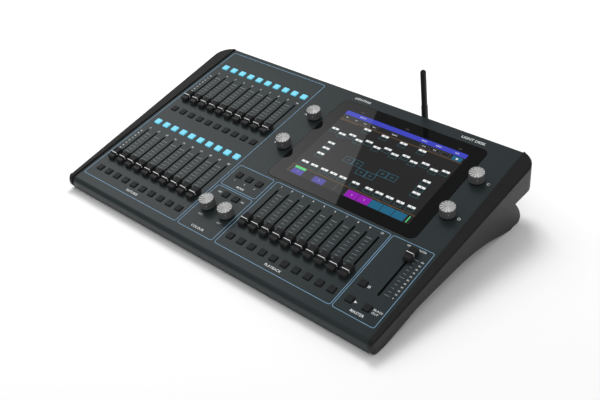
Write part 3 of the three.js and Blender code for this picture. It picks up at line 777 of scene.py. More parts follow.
def display_picture():
    left, right, front, rear = (SCREEN[side] for side in ("left", "right", "front", "rear"))
    title, line = 16.26, 0.03
    tab_low, tab_high, tab_middle, tab_step = 15.53, 15.93, 15.73, 0.85
    cue_low, cue_high = 8.4, 9.12
    halves = []
    for a, b, y, z in TRUSS_BOXES:
        halves += [(a + (b - a) * k / 2, a + (b - a) * (k + 1) / 2, y, z) for k in (0, 1)]
    truss_marks = [(a + 0.3, b - 0.3, y + 0.25, z - 0.25) for a, b, y, z in halves]
    rules = [(left, right, 15.4, 15.45), (left, right, 9.24, 9.29)]
    rules += [(13.4 + 0.22 * i, 13.55 + 0.22 * i, 15.3, 15.36) for i in range(8)]
    rules += [(13.4, 13.62, y, y + 0.05) for y in (8.5, 8.75, 9.0)]
    tabs = [(13.45 + tab_step * i, 14.2 + tab_step * i, tab_low, tab_high) for i in range(4)]
    tabs += [(a, b, tab_low, tab_high) for a, b in ((20.6, 21.3), (21.45, 22.3), (22.45, 23.2))]
    for name, color, layer, areas in (
        ("background", "dark", 1, [(left, right, front, rear)]),
        ("title_bar", "blue", 2, [(left, right, 16.02, rear)]),
        ("box_outlines", "outline", 2, frames(about(ICONS, -0.34, 0.3, -0.46, -0.13), line)),
        ("truss_boxes", "cyan", 3, frames(halves, 0.045)),
        ("truss_marks", "cyan", 3, frames(truss_marks, 0.04)),
        ("icons", "white", 3, about(ICONS, -0.31, 0.31, -0.1, 0.1)),
        ("icon_glyphs", "grey", 4, about(ICONS, -0.035, 0.035, -0.08, 0.06)),
        ("rules", "orange", 2, rules),
        ("tabs", "grey", 2, frames(tabs, line)),
        ("home_tab", "teal", 3, [(23.4, 24.2, 15.5, 15.95)]),
        ("home_mark", "white", 4, [(23.72, 23.88, 15.64, 15.8)]),
        ("cue_green", "green", 2, [(13.75, 14.75, 9.0, 9.24), (24.03, 24.11, 8.45, 9.1)]),
        ("cue_indigo", "indigo", 2, [(13.75, 14.75, 8.42, 8.95), (15.75, 16.8, 8.42, 9.0)]),
        ("cue_magenta", "magenta", 2, [(x, x + 1.0, cue_low, cue_high) for x in (18.8, 19.85)]),
        ("cue_teal", "teal", 2, [(20.88 + i, 21.83 + i, cue_low, cue_high) for i in range(3)]),
        ("cue_lines", "grey", 2, [(x, x + line, cue_low, 9.2) for x in (17.75, 18.75)]),
    ):
        patches("picture_" + name, "display_" + color, layer, areas)
    marks = [(c - 0.12, c + 0.14, 16.72, 16.86) for c in (14.55, 18.8, 23.45)]
    patches("glass_marks", "display_grey", 1, frames(marks, line))
    words = [("TAB %d" % (i + 1), (a + b) / 2, tab_middle, 2.2) for i, (a, b, _, _) in enumerate(tabs[:4])]
    words += [("LOOK", 20.95, tab_middle, 2.2), ("SAVE", 21.88, tab_middle, 2.2)]
    words.append(("PLAN", 18.3, tab_middle, 3.4))
    words += [(text, column, title, 2.8) for text, column in TITLE_WORDS]
    words += [(str(i + 1), column, 8.75, 2.8) for i, column in enumerate((14.25, 16.28, 19.3, 20.35))]
    screen_words("picture_words", "display_white", words)
    cells = [("CUE %d" % (i + 1), 21.35 + i, 9.2, 2.0) for i in range(3)]
    screen_words("picture_cue_words", "display_orange", cells)


# ------------------------------------------------------------------ printed legends
LEGEND_HIGH = 0.05
PRINTED = at(0, 0, LEGEND_HIGH / 2 + 0.01)  # print stands on the paint


def glyphs(work, text, x, y, size):
    """Adds printed text, centred on a point of the panel, to a bmesh."""
    curve = bpy.data.curves.new("text", "FONT")
    curve.body = text
    curve.size = size
    curve.align_x = curve.align_y = "CENTER"
    curve.resolution_u = 3
    curve.extrude = LEGEND_HIGH / 2
    curve.offset = 0.004 * size
    mesh = shown_mesh(placed("text", curve))
    mesh.transform(Matrix.Translation((x, y, 0)))
    work.from_mesh(mesh)
    bpy.data.curves.remove(curve)
    bpy.data.meshes.remove(mesh)


def bars(work, areas):
    """Adds thin printed rectangles, (left, right, front, rear) in millimetres, to a bmesh."""
    for left, right, front, rear in areas:
        outline = rounded((left + right) / 2, (front + rear) / 2, right - left, rear - front)
        merge(work, prism(outline, -LEGEND_HIGH / 2, LEGEND_HIGH / 2))


TICKS = 11
TICK_STEP = 0.343


PRINTED_WORDS = {  # by size: the text, column and row of each
    6.6: [("LIGHT DESK", 23.8, 18.1)],
    6.0: [("LIGHTING", 13.65, 18.1)],
    5.8: [("A", 10.55, 14.45), ("B", 10.55, 10.54), ("C", 27.03, 14.5), ("D", 27.01, 10.56)],
    5.2: [
        ("FIXTURES", 4.45, 0.38), ("COLOUR", 11.6, 0.38), ("PLAYBACK", 18.77, 0.38), ("MASTER", 25.75, 0.38),
    ],
    4.6: [("MODE", 11.62, 5.03)],
    4.0: [("BLACK", 26.83, 1.19), ("OUT", 26.74, 0.93)],
    3.6: [
        ("GRAND MASTER", 26.06, 6.8), ("HUE", 10.79, 1.52), ("SAT", 12.65, 1.52),
        ("1", 10.625, 5.53), ("2", 11.625, 5.53), ("3", 12.625, 5.53),
    ],
    3.4: [("PRE", 10.5, 4.0), ("ALL", 12.8, 4.0)],
}
NUMBER_SIZE, PERCENT_SIZE = 4.2, 3.0


def numbers_and_words():
    work = bmesh.new()
    numbered = ((15.2, 1, FIXTURE_COLUMNS), (6.65, 11, FIXTURE_COLUMNS), (6.8, 1, PLAYBACK_COLUMNS))
    for row, first, columns in numbered:
        for i, column in enumerate(columns):
            glyphs(work, str(first + i), across(column), along(row), NUMBER_SIZE)
    for column, row in ((-0.5, 15.2 - 0.65), (-0.5, 6.65 - 0.65), (27.0, 5.98)):
        for i in range(TICKS):
            glyphs(work, str(100 - 10 * i), across(column), along(row - TICK_STEP * i), PERCENT_SIZE)
    for size, words in PRINTED_WORDS.items():
        for text, column, row in words:
            glyphs(work, text, across(column), along(row), size)
    bars(work, [(across(c), across(c + 0.05), along(2.41), along(2.61)) for c in (25.13, 25.24)])
    triangle = [(across(25.1), along(0.96)), (across(25.3), along(1.06)), (across(25.1), along(1.16))]
    merge(work, prism(triangle, -LEGEND_HIGH / 2, LEGEND_HIGH / 2))
    piece("panel_legends", work, "desk", "legend_ink", PRINTED)


def tick_marks():
    """Thin scale lines between the faders, the line at full the widest."""
    work = bmesh.new()
    areas = []
    rows = [(FIXTURE_COLUMNS[:-1], top, 0.14, 0.71) for top in (14.57, 5.98)]
    rows += [(PLAYBACK_COLUMNS[:-1], 5.98, 0.25, 0.71)]
    rows += [([MASTER_COLUMN], 5.98, 0.29, 0.67)]
    for columns, top, left, right in rows:
        for column in columns:
            for i in range(TICKS):
                y = along(top - TICK_STEP * i)
                inset = 0.0 if i in (0, 5, 10) else 0.08
                half = 0.27 if i == 0 else 0.18
                start, end = across(column + left + inset), across(column + right - inset)
                areas.append((start, end, y - half, y + half))
    bars(work, areas)
    piece("scale_lines", work, "desk", "tick_ink", PRINTED)


OUTLINES = {
    "fixture": (-0.886, 9.628, 0.0, 18.27),
    "mode": (9.885, 13.366, 4.72, 7.055),
    "colour": (9.865, 13.357, 0.0, 4.54),
    "playback": (13.632, 23.885, 0.0, 7.055),
    "master": (24.034, 27.306, 0.0, 7.055),
}


def section_outlines():
    """The printed line round each section, a closed ribbon with round corners."""
    line, corner = 0.68, 3.0
    work = bmesh.new()
    for left, right, front, rear in OUTLINES.values():
        x, y = (across(left) + across(right)) / 2, along((front + rear) / 2)
        width, length = across(right) - across(left), along(rear - front)
        rings = []
        for grow in (-line / 2, line / 2):
            outline = rounded(x, y, width + 2 * grow, length + 2 * grow, corner + grow, 8)
            rings += [ring_at(work, outline, z) for z in (-LEGEND_HIGH / 2, LEGEND_HIGH / 2)]
        inner_low, inner_high, outer_low, outer_high = rings
        loop = (inner_high, outer_high, outer_low, inner_low, inner_high)
        for a, b in zip(loop, loop[1:]):
            bridge(work, a, b)
    piece("section_outlines", work, "desk", "outline_ink", PRINTED)


# ------------------------------------------------------------------ faders
CAP = {"half": 5.5, "front": -8.8, "rear": 11.4, "base": 1.2, "top": 8.2, "ribs": 5}


def cap_profile():
    """The cap's side view, as (y, z): a ribbed rear half, a ridge and a scooped front half."""
    front, rear, top = CAP["front"], CAP["rear"], CAP["top"]
    points = [(front, CAP["base"]), (rear, CAP["base"]), (rear, top - 2.6)]
    points += [(rear - 0.3, top - 1.2), (rear - 0.9, top - 0.6)]
    for rib in range(CAP["ribs"]):
        y = rear - 1.5 - 1.8 * rib
        points += [(y, top - 0.45), (y - 0.7, top - 0.45), (y - 1.0, top - 1.15), (y - 1.5, top - 1.15)]
    points += [(0.9, top - 0.25), (0.6, top), (-0.6, top), (-0.9, top - 0.25)]
    points += quadratic((-0.9, top - 0.25), (front / 2, top - 3.4), (front + 1.7, top - 1.4), 10)
    return points + [(front + 0.7, top - 1.9), (front + 0.1, top - 3.2)]


def cap_side(z):
    """Half the cap's width at a height; its sides draw in a little towards the top."""
    return CAP["half"] * (1.0 - 0.014 * max(z - CAP["base"], 0.0))


def cap_mesh():
    work = side_prism(cap_profile(), -1.0, 1.0)
    for vert in work.verts:
        vert.co.x *= cap_side(vert.co.z)
    return beveled(mesh_from(work, "fader_cap"), 0.25, 2, 35)


def pointer_mesh():
    """The white line over the ridge and down both sides of the cap."""
    thick, line, top, low = 0.07, 0.85, CAP["top"], 3.6
    work = bmesh.new()
    left = [(-cap_side(low) - thick, low), (-cap_side(top) - thick, top + thick)]
    loop = left + [(-x, z) for x, z in reversed(left)]
    sunk_side, sunk_top = cap_side(top) - 0.3, top - 0.3
    loop += [(cap_side(low), low), (sunk_side, sunk_top), (-sunk_side, sunk_top), (-cap_side(low), low)]
    rows = [[work.verts.new((x, y, z)) for x, z in loop] for y in (-line / 2, line / 2)]
    bridge(work, *rows)
    count = len(loop)
    for row in rows:
        for i in range(3):
            work.faces.new((row[i], row[i + 1], row[count - 2 - i], row[count - 1 - i]))
    return mesh_from(work, "fader_pointer", 40)


def lever_mesh():
    work = boxes(bmesh.new(), (0, 0, -5.6, 1.1, 5.6, 14.6))
    return beveled(mesh_from(work, "fader_lever"), 0.25, 2)


def faders():
    cap, pointer, lever = cap_mesh(), pointer_mesh(), lever_mesh()
    for name, column, step in FADERS:
        row = FADER_ROW + step + (FADER_TRAVEL / 2 if name.startswith("master") else -FADER_TRAVEL / 2)
        place = at(across(column), row)
        label = name.replace("_cap", "")
        piece(label + "_cap_shell", cap, name, "fader_plastic", place, [name], True)
        piece(label + "_pointer", pointer, name, "pointer_white", place, shared=True)
        piece(label + "_lever", lever, name, "steel_fastener", place, shared=True)


def dust_lips():
    """A felt lip on each side of every slot keeps dust out and leaves the lever room to run."""
    lip = 0.5
    for side, label in ((-1, "left"), (1, "right")):
        work = bmesh.new()
        for _, column, step in FADERS:
            x = across(column) + side * (SLOT[0] / 2 - lip / 2 - 0.02)
            boxes(work, (x, FADER_ROW + step, -3.6, lip, SLOT[1] - 1.5, 2.4))
        piece(label + "_dust_lips", work, "desk", "foot_rubber")


# ------------------------------------------------------------------ knobs
KNOB = {"radius": 10.5, "height": 15.0, "undercut": 3.0, "ribs": 40}


def knob_grip_mesh():
    """The ribbed grey grip, a cup that hangs over a narrower black skirt."""
    radius, height, low = KNOB["radius"], KNOB["height"], KNOB["undercut"]
    skirt = ((-1.6, 1.5), (-1.6, 0.1), (-0.1, 0.0), (0.2, 0.3), (0.2, 0.9), (0.05, 1.3), (0.0, 2.2))
    rim = ((0.1, 3.6), (0.1, 2.6), (0.25, 1.5), (0.6, 0.8), (0.85, 0.75), (0.9, 1.65))
    profile = [(0, low + 1.5)] + [(radius + out, low + rise) for out, rise in skirt]
    profile += [(radius - inset, height - drop) for inset, drop in rim] + [(0, height - 1.65)]
    def radius_at(index, angle, base):
        ribbed = index in (7, 8)
        return base + (0.13 * math.cos(KNOB["ribs"] * angle) - 0.1 if ribbed else 0.0), 0.0
    return mesh_from(lathe(profile, KNOB["ribs"] * 5, radius_at), "knob_grip", 50)


def knob_skirt_mesh():
    radius, low = KNOB["radius"] - 1.1, KNOB["undercut"]
    top = low + 0.05
    profile = [(0, -8.2), (3, -8.2), (3, 1.0), (radius, 1.0), (radius + 0.1, 1.2), (radius, top), (0, top)]
    return mesh_from(lathe(profile, 64), "knob_skirt", 40)


def knob_top_mesh():
    """The aluminium disc in the knob's top, pressed into rays that run out from its middle."""
    rays, height = KNOB_RAYS, KNOB["height"]
    radii = (9.75, 9.6, 9.35, 9.2, 7.6, 6.0, 4.4, 2.8, 1.4)
    first = 3  # the first ring of the pressed rays
    profile = [(0, height - 1.6), (radii[0], height - 1.6), (radii[0], height - 0.15)]
    profile += [(radius, height) for radius in (*radii[1:], 0)]
    def radius_at(index, angle, base):
        pressed = 2 + first <= index < 2 + len(radii)
        phase = (rays * angle / (2 * math.pi)) % 1.0
        ramp = phase / 0.8 if phase < 0.8 else (1.0 - phase) / 0.2  # a long face and a steep one
        return base, -0.13 * base * (1.0 - ramp) if pressed else 0.0
    return mesh_from(lathe(profile, rays * 10, radius_at), "knob_top", 24)


def knob_mark_mesh():
    """A small raised dot on the grip's side, below the disc."""
    work = lathe([(0, -0.2), (0.55, -0.2), (0.5, 0.12), (0, 0.2)], 16)
    return mesh_from(laid_over(work, "X", (0, -KNOB["radius"], 9.6)), "knob_mark")


def knobs():
    grip, skirt, top, mark = knob_grip_mesh(), knob_skirt_mesh(), knob_top_mesh(), knob_mark_mesh()
    for turn, (name, (column, row)) in enumerate(KNOB_PLACES.items()):
        place = at(across(column), along(row)) @ Matrix.Rotation(math.radians(28 + 3 * turn), 4, "Z")
        piece(name + "_grip", grip, name, "knob_body", place, [name], True)
        piece(name + "_skirt", skirt, name, "dark_key", place, shared=True)
        piece(name + "_disc", top, name, "spun_aluminium", place, shared=True)
        piece(name + "_mark", mark, name, "pointer_white", place, shared=True)


# ------------------------------------------------------------------ keys
def key_mesh():
    """A soft key: slightly crowned, with round corners and a flange under the panel."""
    work = bmesh.new()
    size, top = KEY_SIZE, 1.6
    levels = [(size, -3.4, 0.9), (size, 0.9, 0.9), (size - 0.25, 1.3, 1.0), (size - 0.8, 1.52, 1.1)]
    levels += [(size - 1.6, top, 1.2), (size - 4.2, top - 0.12, 1.4)]
    rings = [ring_at(work, rounded(0, 0, side, side, corner, 4), z) for side, z, corner in levels]
    for low, high in zip(rings, rings[1:]):
        bridge(work, low, high)
    work.faces.new(reversed(rings[0]))
    work.faces.new(rings[-1])
    return mesh_from(work, "key_top", 50)


def keys():
    dark = key_mesh()
    lit = dark.copy()
    lit.name = "lit_key_top"
    for mat, places in KEY_PLACES.items():
        slot = "lit_key" if "select" in mat else "dark_key"
        xs, ys = [across(c) for c, _ in places], [along(r) for _, r in places]
        width, length = max(xs) - min(xs) + 14, max(ys) - min(ys) + 14
        outline = rounded((min(xs) + max(xs)) / 2, (min(ys) + max(ys)) / 2, width, length, 2, 4)
        web = beveled(mesh_from(prism(outline, -4.6, -3.4), mat + "_web"), 0.2, 1)
        piece(mat + "_web", web, mat, slot, stands_for=[mat])
        for i, (column, row) in enumerate(places):
            name = f"{mat}_top_{i + 1}"
            mesh = lit if slot == "lit_key" else dark
            piece(name, mesh, mat, slot, at(across(column), along(row)), shared=True)


# ------------------------------------------------------------------ rear panel and its sockets
REAR = {"plane": 320.0, "sheet": 1.5, "low": -42.0, "high": -2.3, "ports": -20.0}
NETWORK = {"x": 60, "width": 16, "height": 14}
USB = {"x": 32, "width": 14, "height": 15}
VIDEO = {"x": 4, "width": 16, "height": 6.5}
INLET = {"x": 226, "width": 27, "height": 20}
ROCKER = {"x": 190, "width": 12, "height": 19}
DMX_OUTPUTS = (-190, -150)
ANTENNA = {"x": 99.4, "start": 326.5, "pivot": 343.0, "tip": 71.4}
ANTENNA |= {"radius": 4.1, "sleeve": 4.69, "hinge": 4.6}


def rear_face(x, z, out=0.0):
    """A place on the rear panel's outer face: X runs to the viewer's left from behind, Y is up, Z is out."""
    turn = Matrix(((-1, 0, 0), (0, 0, 1), (0, 1, 0))).to_4x4()
    return at(x, REAR["plane"] + REAR["sheet"] + out, z) @ turn


def rear_sheet():
    """Drawn as seen from behind, so X is mirrored."""
    mid = (REAR["low"] + REAR["high"]) / 2
    height = REAR["high"] - REAR["low"]
    outlines = [rounded(0, mid, 2 * PANEL_HALF_WIDTH, height)]
    for port in (NETWORK, USB, VIDEO, INLET, ROCKER):
        outlines.append(rounded(-port["x"], REAR["ports"], port["width"] + 1.2, port["height"] + 1.2, 0.8, 3))
    for x in DMX_OUTPUTS:
        outlines.append(circle(-x, REAR["ports"], 9.6))
    work = sheet_with_holes(outlines, -REAR["sheet"], 0)
    mesh = mesh_from(work, "rear_sheet", 20)
    piece("rear_sheet", mesh, "desk", "painted_steel", rear_face(0, 0), ["rear_panel"])


def screw_mesh():
    """A pan-head screw with a cross recess."""
    shank = [(0, -0.6), (1.5, -0.6), (1.5, 0)]
    head = [(2.7, 0), (2.75, 0.35), (2.3, 1.1), (1.5, 1.5), (0, 1.6)]
    mesh = mesh_from(lathe(shank + head, 24), "screw")
    cross = boxes(bmesh.new(), (0, 0, 1.5, 2.8, 0.6, 1.4), (0, 0, 1.5, 0.6, 2.8, 1.4))
    return carved(mesh, mesh_from(cross, "cross"))


def rear_screws(mesh):
    places = [(x, z) for x in (-246, -110, -60, 150, 246) for z in (-7, -37)]
    for i, (x, z) in enumerate(places):
        piece(f"rear_screw_{i + 1}", mesh, "desk", "steel_fastener", rear_face(x, z, 0.02), shared=True)


def pan_screws(mesh):
    """Screws up into the pan's flat front and its sloping middle, heads down."""
    down = Matrix.Rotation(math.pi, 4, "X")
    row = 258
    flat = [(x, 12, -20.0, 0.0) for x in (-240, -120, 0, 120, 240)]
    sloping = [(x, row, *pan_slope(row)) for x in (-240, 0, 240)]
    for i, (x, y, z, lean) in enumerate(flat + sloping):
        place = at(x, y, z - 0.02) @ Matrix.Rotation(lean, 4, "X") @ down
        piece(f"pan_screw_{i + 1}", mesh, "desk", "steel_fastener", place, shared=True)


def dmx_outputs(screw):
    """Two five-pole female outputs, each a flanged shell round a plastic face with five sockets."""
    plate = prism(rounded(0, 0, 26, 31, 3.2, 6), 0.02, 1.6)
    collar = [(10.2, 1.5), (11.4, 1.5), (11.4, 2.6), (11.0, 3.0), (10.4, 3.0), (10.2, 2.6), (10.2, 1.5)]
    merge(plate, lathe(collar, 48))
    flange = beveled(mesh_from(plate, "dmx_flange"), 0.2, 2)
    face = mesh_from(lathe([(0, -8), (9.4, -8), (9.4, 2.2), (9.0, 2.5), (0, 2.5)], 48), "dmx_face")
    pins = bmesh.new()
    for i in range(5):
        angle = math.radians(-90 + 36 + 63 * i)
        merge(pins, prism(circle(5.6 * math.cos(angle), 5.6 * math.sin(angle), 1.15, 16), 0.5, 5))
    boxes(pins, (0, 8.6, 2, 3.2, 2.4, 4))
    drilled = carved(face, mesh_from(pins, "pins"))
    shade(drilled)
    for output, x in enumerate(DMX_OUTPUTS):
        label = f"dmx_output_{output + 1}"
        piece(label + "_shell", flange, "desk", "rocker_plastic", rear_face(x, REAR["ports"]), shared=True)
        piece(label + "_insert", drilled, "desk", "rocker_plastic", rear_face(x, REAR["ports"]), shared=True)
        for i, (sx, sz) in enumerate(((-9.5, 12), (9.5, -12))):
            place = rear_face(x + sx, REAR["ports"] + sz, 1.6)
            piece(f"{label}_screw_{i + 1}", screw, "desk", "steel_fastener", place, shared=True)


def shell_ring(width, height, wall, depth, corner=0.8):
    """An open-fronted rectangular shell with a rim that stands proud."""
    work, rim = bmesh.new(), 0.8
    outer = rounded(0, 0, width, height, corner, 3)
    inner = rounded(0, 0, width - 2 * wall, height - 2 * wall, corner * 0.6, 3)
    levels = ((outer, -depth), (outer, rim), (inner, rim), (inner, -depth + wall))
    rings = [ring_at(work, line, z) for line, z in levels]
    for low, high in zip(rings, rings[1:]):
        bridge(work, low, high)
    work.faces.new(reversed(rings[0]))
    work.faces.new(rings[-1])
    return work


def small_sockets():
    """The network, USB and video sockets: plated shells round black linings and tongues."""
    place = rear_face(NETWORK["x"], REAR["ports"])
    piece("network_socket_shell", shell_ring(15.6, 13.6, 0.5, 11.6), "desk", "steel_fastener", place)
    lining = bmesh.new()
    floor_and_roof = [(0, -5.3, 14.4, 2.0), (0, 5.6, 14.4, 1.4)]
    sides = [part for side in (-1, 1) for part in ((side * 6.6, 0.3, 1.2, 9.4), (side * 4.6, -3.6, 2.9, 1.6))]
    for part in floor_and_roof + sides:
        merge(lining, prism(rounded(*part), -11, 0.4))
    piece("network_socket_lining", lining, "desk", "rocker_plastic", place)
    contacts = boxes(bmesh.new(), *((-3.57 + 1.02 * i, 4.6, -5, 0.45, 0.45, 8) for i in range(8)))
    piece("network_contacts", contacts, "desk", "contact_gold", place)
    shell = mesh_from(shell_ring(13.4, 5.9, 0.4, 10), "usb_shell")
    tongue = mesh_from(boxes(bmesh.new(), (0, 0.9, -4.6, 11, 1.7, 9.6)), "usb_tongue")
    for i, z in enumerate((-3.7, 3.7)):
        place = rear_face(USB["x"], REAR["ports"] + z)
        piece(f"usb_socket_{i + 1}_shell", shell, "desk", "steel_fastener", place, shared=True)
        piece(f"usb_socket_{i + 1}_tongue", tongue, "desk", "rocker_plastic", place, shared=True)
    place = rear_face(VIDEO["x"], REAR["ports"])
    piece("video_socket_shell", shell_ring(15.6, 6.1, 0.5, 9, 1.6), "desk", "steel_fastener", place)
    tongue = boxes(bmesh.new(), (0, 0, -4.4, 11.5, 1.3, 9))
    piece("video_socket_tongue", tongue, "desk", "rocker_plastic", place)


def mains_inlet():
    place = rear_face(INLET["x"], REAR["ports"])
    body = shell_ring(26.8, 19.8, 1.9, 13, 2.4)
    merge(body, prism(rounded(0, 0, 22.6, 15.6, 1.6, 3), -13.2, -12.2))
    piece("mains_inlet_housing", body, "desk", "rocker_plastic", place)
    pins = boxes(bmesh.new(), *((x, y, -5.4, 2, 4.2, 13) for x, y in ((-6.5, -1.4), (6.5, -1.4), (0, 2.9))))
    pins = beveled(mesh_from(pins, "inlet_pins"), 0.35, 2)
    piece("mains_inlet_pins", pins, "desk", "steel_fastener", place)


def power_rocker():
    """The rocker with its on and off marks, tipped to off at rest."""
    tilt = math.radians(7)
    place = at(ROCKER["x"], REAR["plane"], REAR["ports"]) @ Matrix.Rotation(tilt, 4, "X")
    half = ROCKER["height"] / 2 - 0.45
    outline = [(-3, -half + 1.5), (3.2, -half), (3.5, -half + 0.5)]
    outline += quadratic(outline[-1], (1.6, 0), (3.5, half - 0.5), 12)
    outline += [(3.2, half), (-3, half - 1.5)]
    mesh = beveled(mesh_from(side_prism(outline, -5.5, 5.5), "rocker"), 0.3, 2, 40)
    piece("rocker_paddle", mesh, "power_rocker", "rocker_plastic", place, ["power_rocker"])
    marks = boxes(bmesh.new(), (0, 3.2, 5.4, 0.7, 0.6, 3.0))
    ring = lathe([(0.9, -0.3), (1.5, -0.3), (1.5, 0.3), (0.9, 0.3), (0.9, -0.3)], 24)
    merge(marks, laid_over(ring, "X", (0, 3.2, -5.4)))
    piece("rocker_marks", marks, "power_rocker", "pointer_white", place)


def rear_legends():
    work = bmesh.new()
    under_output, under = -19.8, -18.3  # from the middle of the sockets
    places = [("DMX %d" % (i + 1), x, under_output) for i, x in enumerate(DMX_OUTPUTS)]
    named = (("VIDEO", VIDEO), ("USB", USB), ("NETWORK", NETWORK), ("POWER", ROCKER), ("MAINS", INLET))
    places += [(text, socket["x"], under) for text, socket in named]
    for text, x, z in places:
        glyphs(work, text, -x, z, 3.2)
    piece("rear_legends", work, "desk", "legend_ink", rear_face(0, REAR["ports"], LEGEND_HIGH / 2 + 0.02))


def antenna_base(axis):
    """The bulkhead nut with its thread, and the knuckle with its tongue."""
    face, pitch = REAR["plane"] + REAR["sheet"], 0.38
    nut = prism(circle(0, 0, 4.6, 6), face + 0.02, face + 2.2)
    thread = []
    for i in range(5):
        thread += [(3.1, face + 2.2 + pitch * i), (2.8, face + 2.2 + pitch * (i + 0.5))]
    merge(nut, lathe([(0, face), (3.1, face), *thread, (0, face + 4.4)], 32))
    nut = beveled(mesh_from(nut, "antenna_bulkhead"), 0.15, 1)
    piece("antenna_bulkhead", nut, "desk", "contact_gold", axis)
    start, pivot = ANTENNA["start"], ANTENNA["pivot"]
    end = pivot - ANTENNA["hinge"] - 0.4
    barrel = [(0, start), (4.3, start), (4.6, start + 0.3), (4.6, start + 4.6)]
    barrel += [(4.2, start + 5.0), (4.2, end - 0.4), (3.9, end), (0, end)]
    def knurl(index, angle, base):
        return (base + 0.14 * math.cos(24 * angle), 0.0) if index in (2, 3) else (base, 0.0)
    body = lathe(barrel, 96, knurl)
    piece("antenna_knuckle_barrel", body, "antenna_knuckle", "antenna_plastic", axis, ["antenna_knuckle"])
    reach = 3.6
    side = [(end - 1, reach), (end - 1, -reach)] + arc_points(pivot, 0, reach, -90, 90, 20)
    tongue = beveled(mesh_from(side_prism(side, -1.6, 1.6), "tongue"), 0.3, 2, 40)
    place = at(ANTENNA["x"], 0, REAR["ports"])
    piece("antenna_knuckle_tongue", tongue, "antenna_knuckle", "antenna_plastic", place)


def antenna_rod(place):
    """The whip and its sleeve, forked round the tongue, with the hinge pin through both."""
    low, tip, radius, sleeve = REAR["ports"], ANTENNA["tip"], ANTENNA["radius"], ANTENNA["sleeve"]
    shoulder = [(1 + math.cos(math.pi * t / 6)) / 2 for t in range(7)]
    profile = [(0, low), (sleeve, low), (sleeve, 6.5), (sleeve - 0.1, 8.0)]
    profile += [(radius + (sleeve - radius) * share - 0.02, 8.4 + t) for t, share in enumerate(shoulder)]
    profile += [(radius - 0.05, tip - radius)] + arc_points(0, tip - radius, radius, 15, 75, 4) + [(0, tip)]
    rod = mesh_from(lathe(profile, 48), "whip")
    half, edge = 3.9, 0.4
    ear = [(0, -half), (sleeve - edge, -half), (sleeve, edge - half)]
    ear += [(sleeve, half - edge), (sleeve - edge, half), (0, half)]
    ears = laid_over(lathe(ear, 48), "Y", (0, 0, low))
    whole = carved(rod, mesh_from(ears, "ears"), "UNION")
    slot = boxes(bmesh.new(), (0, 0, low - 2.2, 4.0, 20, 15.6))
    whole = carved(whole, mesh_from(slot, "fork"))
    shade(whole, 35)
    piece("antenna_whip_cover", whole, "antenna_whip", "antenna_plastic", place, ["antenna_whip"])
    pin = lathe([(0, -4.1), (1.2, -4.1), (1.3, -4.0), (1.3, 4.0), (1.2, 4.1), (0, 4.1)], 24)
    piece("antenna_hinge_pin", laid_over(pin, "Y", (0, 0, low)), "antenna_whip", "steel_fastener", place)


def antenna():
    antenna_base(at(ANTENNA["x"], 0, REAR["ports"]) @ Matrix.Rotation(-math.pi / 2, 4, "X"))
    antenna_rod(at(ANTENNA["x"], ANTENNA["pivot"]))


# ------------------------------------------------------------------ the inside
def dress_cad_nodes():
    """CAD nodes that keep their own shape get their finish here."""
    boards = ("fixture_fader_board", "playback_fader_board", "main_board", "power_supply")
    for name in ("display_module", *boards):
        slot = "circuit_board" if name in boards else "display_frame"
        node = frame["nodes"][name]
        node.data.materials.clear()
        node.data.materials.append(MATERIALS[slot])


# ------------------------------------------------------------------ studio
def area_light(name, place, target, size, power, glossy=True):
    light = bpy.data.lights.new(name, "AREA")
    light.shape = "RECTANGLE"
    light.size, light.size_y = size
    light.energy = power
    lamp = placed(name, light)
    lamp.location = place
    lamp.rotation_euler = (Vector(target) - Vector(place)).to_track_quat("-Z", "Y").to_euler()
    lamp.visible_glossy = glossy
    return lamp


CARD = {"height": 1.6, "edge": ((-0.966, 1.161), (-0.852, 0.701)), "size": (1.6, 2.4), "power": 13.4}
CARD["fades"] = {"X": (-1.9, -0.85, 1.5, 0.85), "Y": (0.65, 1.25, 1.1, 0.38)}


def overhead_card():
    """A soft overhead panel; its right edge runs where its mirror image should end on the glass."""
    (x0, y0), (x1, y1) = CARD["edge"]
    width = CARD["size"][0]
    run = Vector((x1 - x0, y1 - y0, 0)).normalized()
    away = Vector((run.y, -run.x, 0))
    middle = Vector(((x0 + x1) / 2, (y0 + y1) / 2, CARD["height"])) + away * width / 2
    lamp = area_light("overhead_card", middle, (0, 0, 0), CARD["size"], CARD["power"])
    lamp.rotation_euler = (0, 0, math.atan2(run.y, run.x) + math.pi / 2)
    tree = Tree(lamp.data)
    axes = tree.add("SeparateXYZ", {0: tree.add("NewGeometry").outputs["Position"]})
    fades = []
    for axis, (start, end, low, high) in CARD["fades"].items():
        fades.append(tree.map_range(axes.outputs[axis], low, high, start, end))
    both = tree.add("Math", dict(enumerate(fades)), operation="MULTIPLY").outputs[0]
    tree.feed(tree.nodes["Emission"].inputs["Strength"], both)


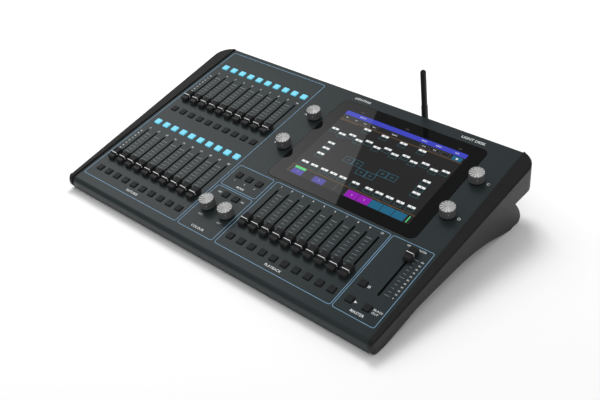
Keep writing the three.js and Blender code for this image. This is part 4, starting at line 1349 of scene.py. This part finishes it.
FLOOR = {"size": 40000, "depth": 20}
WORLD = {"light": 0.68, "reflected": 0.11}  # the strength of the surroundings, and of their mirror image


def studio():
    floor_mesh = mesh_from(prism(rounded(0, 0, FLOOR["size"], FLOOR["size"]), -FLOOR["depth"], 0), "floor")
    mottle = (2, (0.89, 0.89, 0.89), 0.5)
    floor_mesh.materials.append(surface("studio_floor", (0.9, 0.9, 0.9), 0.9, specular=0.1, mottle=mottle))
    floor = placed("floor", floor_mesh)
    world = bpy.data.worlds.new("studio")
    bpy.context.scene.world = world
    tree = Tree(world)
    background = tree.nodes["Background"].inputs
    background["Color"].default_value = (1, 1, 1, 1)
    glossy = tree.add("LightPath").outputs["Is Glossy Ray"]
    tree.feed(background["Strength"], tree.map_range(glossy, WORLD["light"], WORLD["reflected"]))
    area_light("key", (-0.7, 0.9, 1.7), (0, 0, 0), (0.8, 0.8), 24, glossy=False)
    overhead_card()
    bpy.context.scene.view_settings.view_transform = "Standard"


CAMERA_PLACE = (583.4, -383.4, 702.2)  # in the panel's frame
CAMERA_AIM = (55.56, 114.2, 0.0)
CAMERA_ROLL = math.radians(-1.52)
LENS, SENSOR = 46.88, 36.0


def camera():
    data = bpy.data.cameras.new("camera")
    data.lens, data.sensor_width = LENS, SENSOR
    data.clip_start = 0.01
    lens = placed("camera", data)
    eye, aim = at(*CAMERA_PLACE).translation, at(*CAMERA_AIM).translation
    facing = (aim - eye).to_track_quat("-Z", "Y").to_matrix().to_4x4()
    lens.matrix_world = Matrix.Translation(eye) @ facing @ Matrix.Rotation(CAMERA_ROLL, 4, "Z")
    bpy.context.scene.camera = lens


# ------------------------------------------------------------------ build
for build in (
    camera, studio, top_panel, bottom_pan, end_cheeks, foot_pads, glass_cover, display_picture,
    numbers_and_words, tick_marks, section_outlines, faders, dust_lips, knobs, keys, rear_sheet,
):
    build()
SCREW = screw_mesh()
for build in (rear_screws, pan_screws, dmx_outputs):
    build(SCREW)
for build in (small_sockets, mains_inlet, power_rocker, rear_legends, antenna, dress_cad_nodes):
    build()
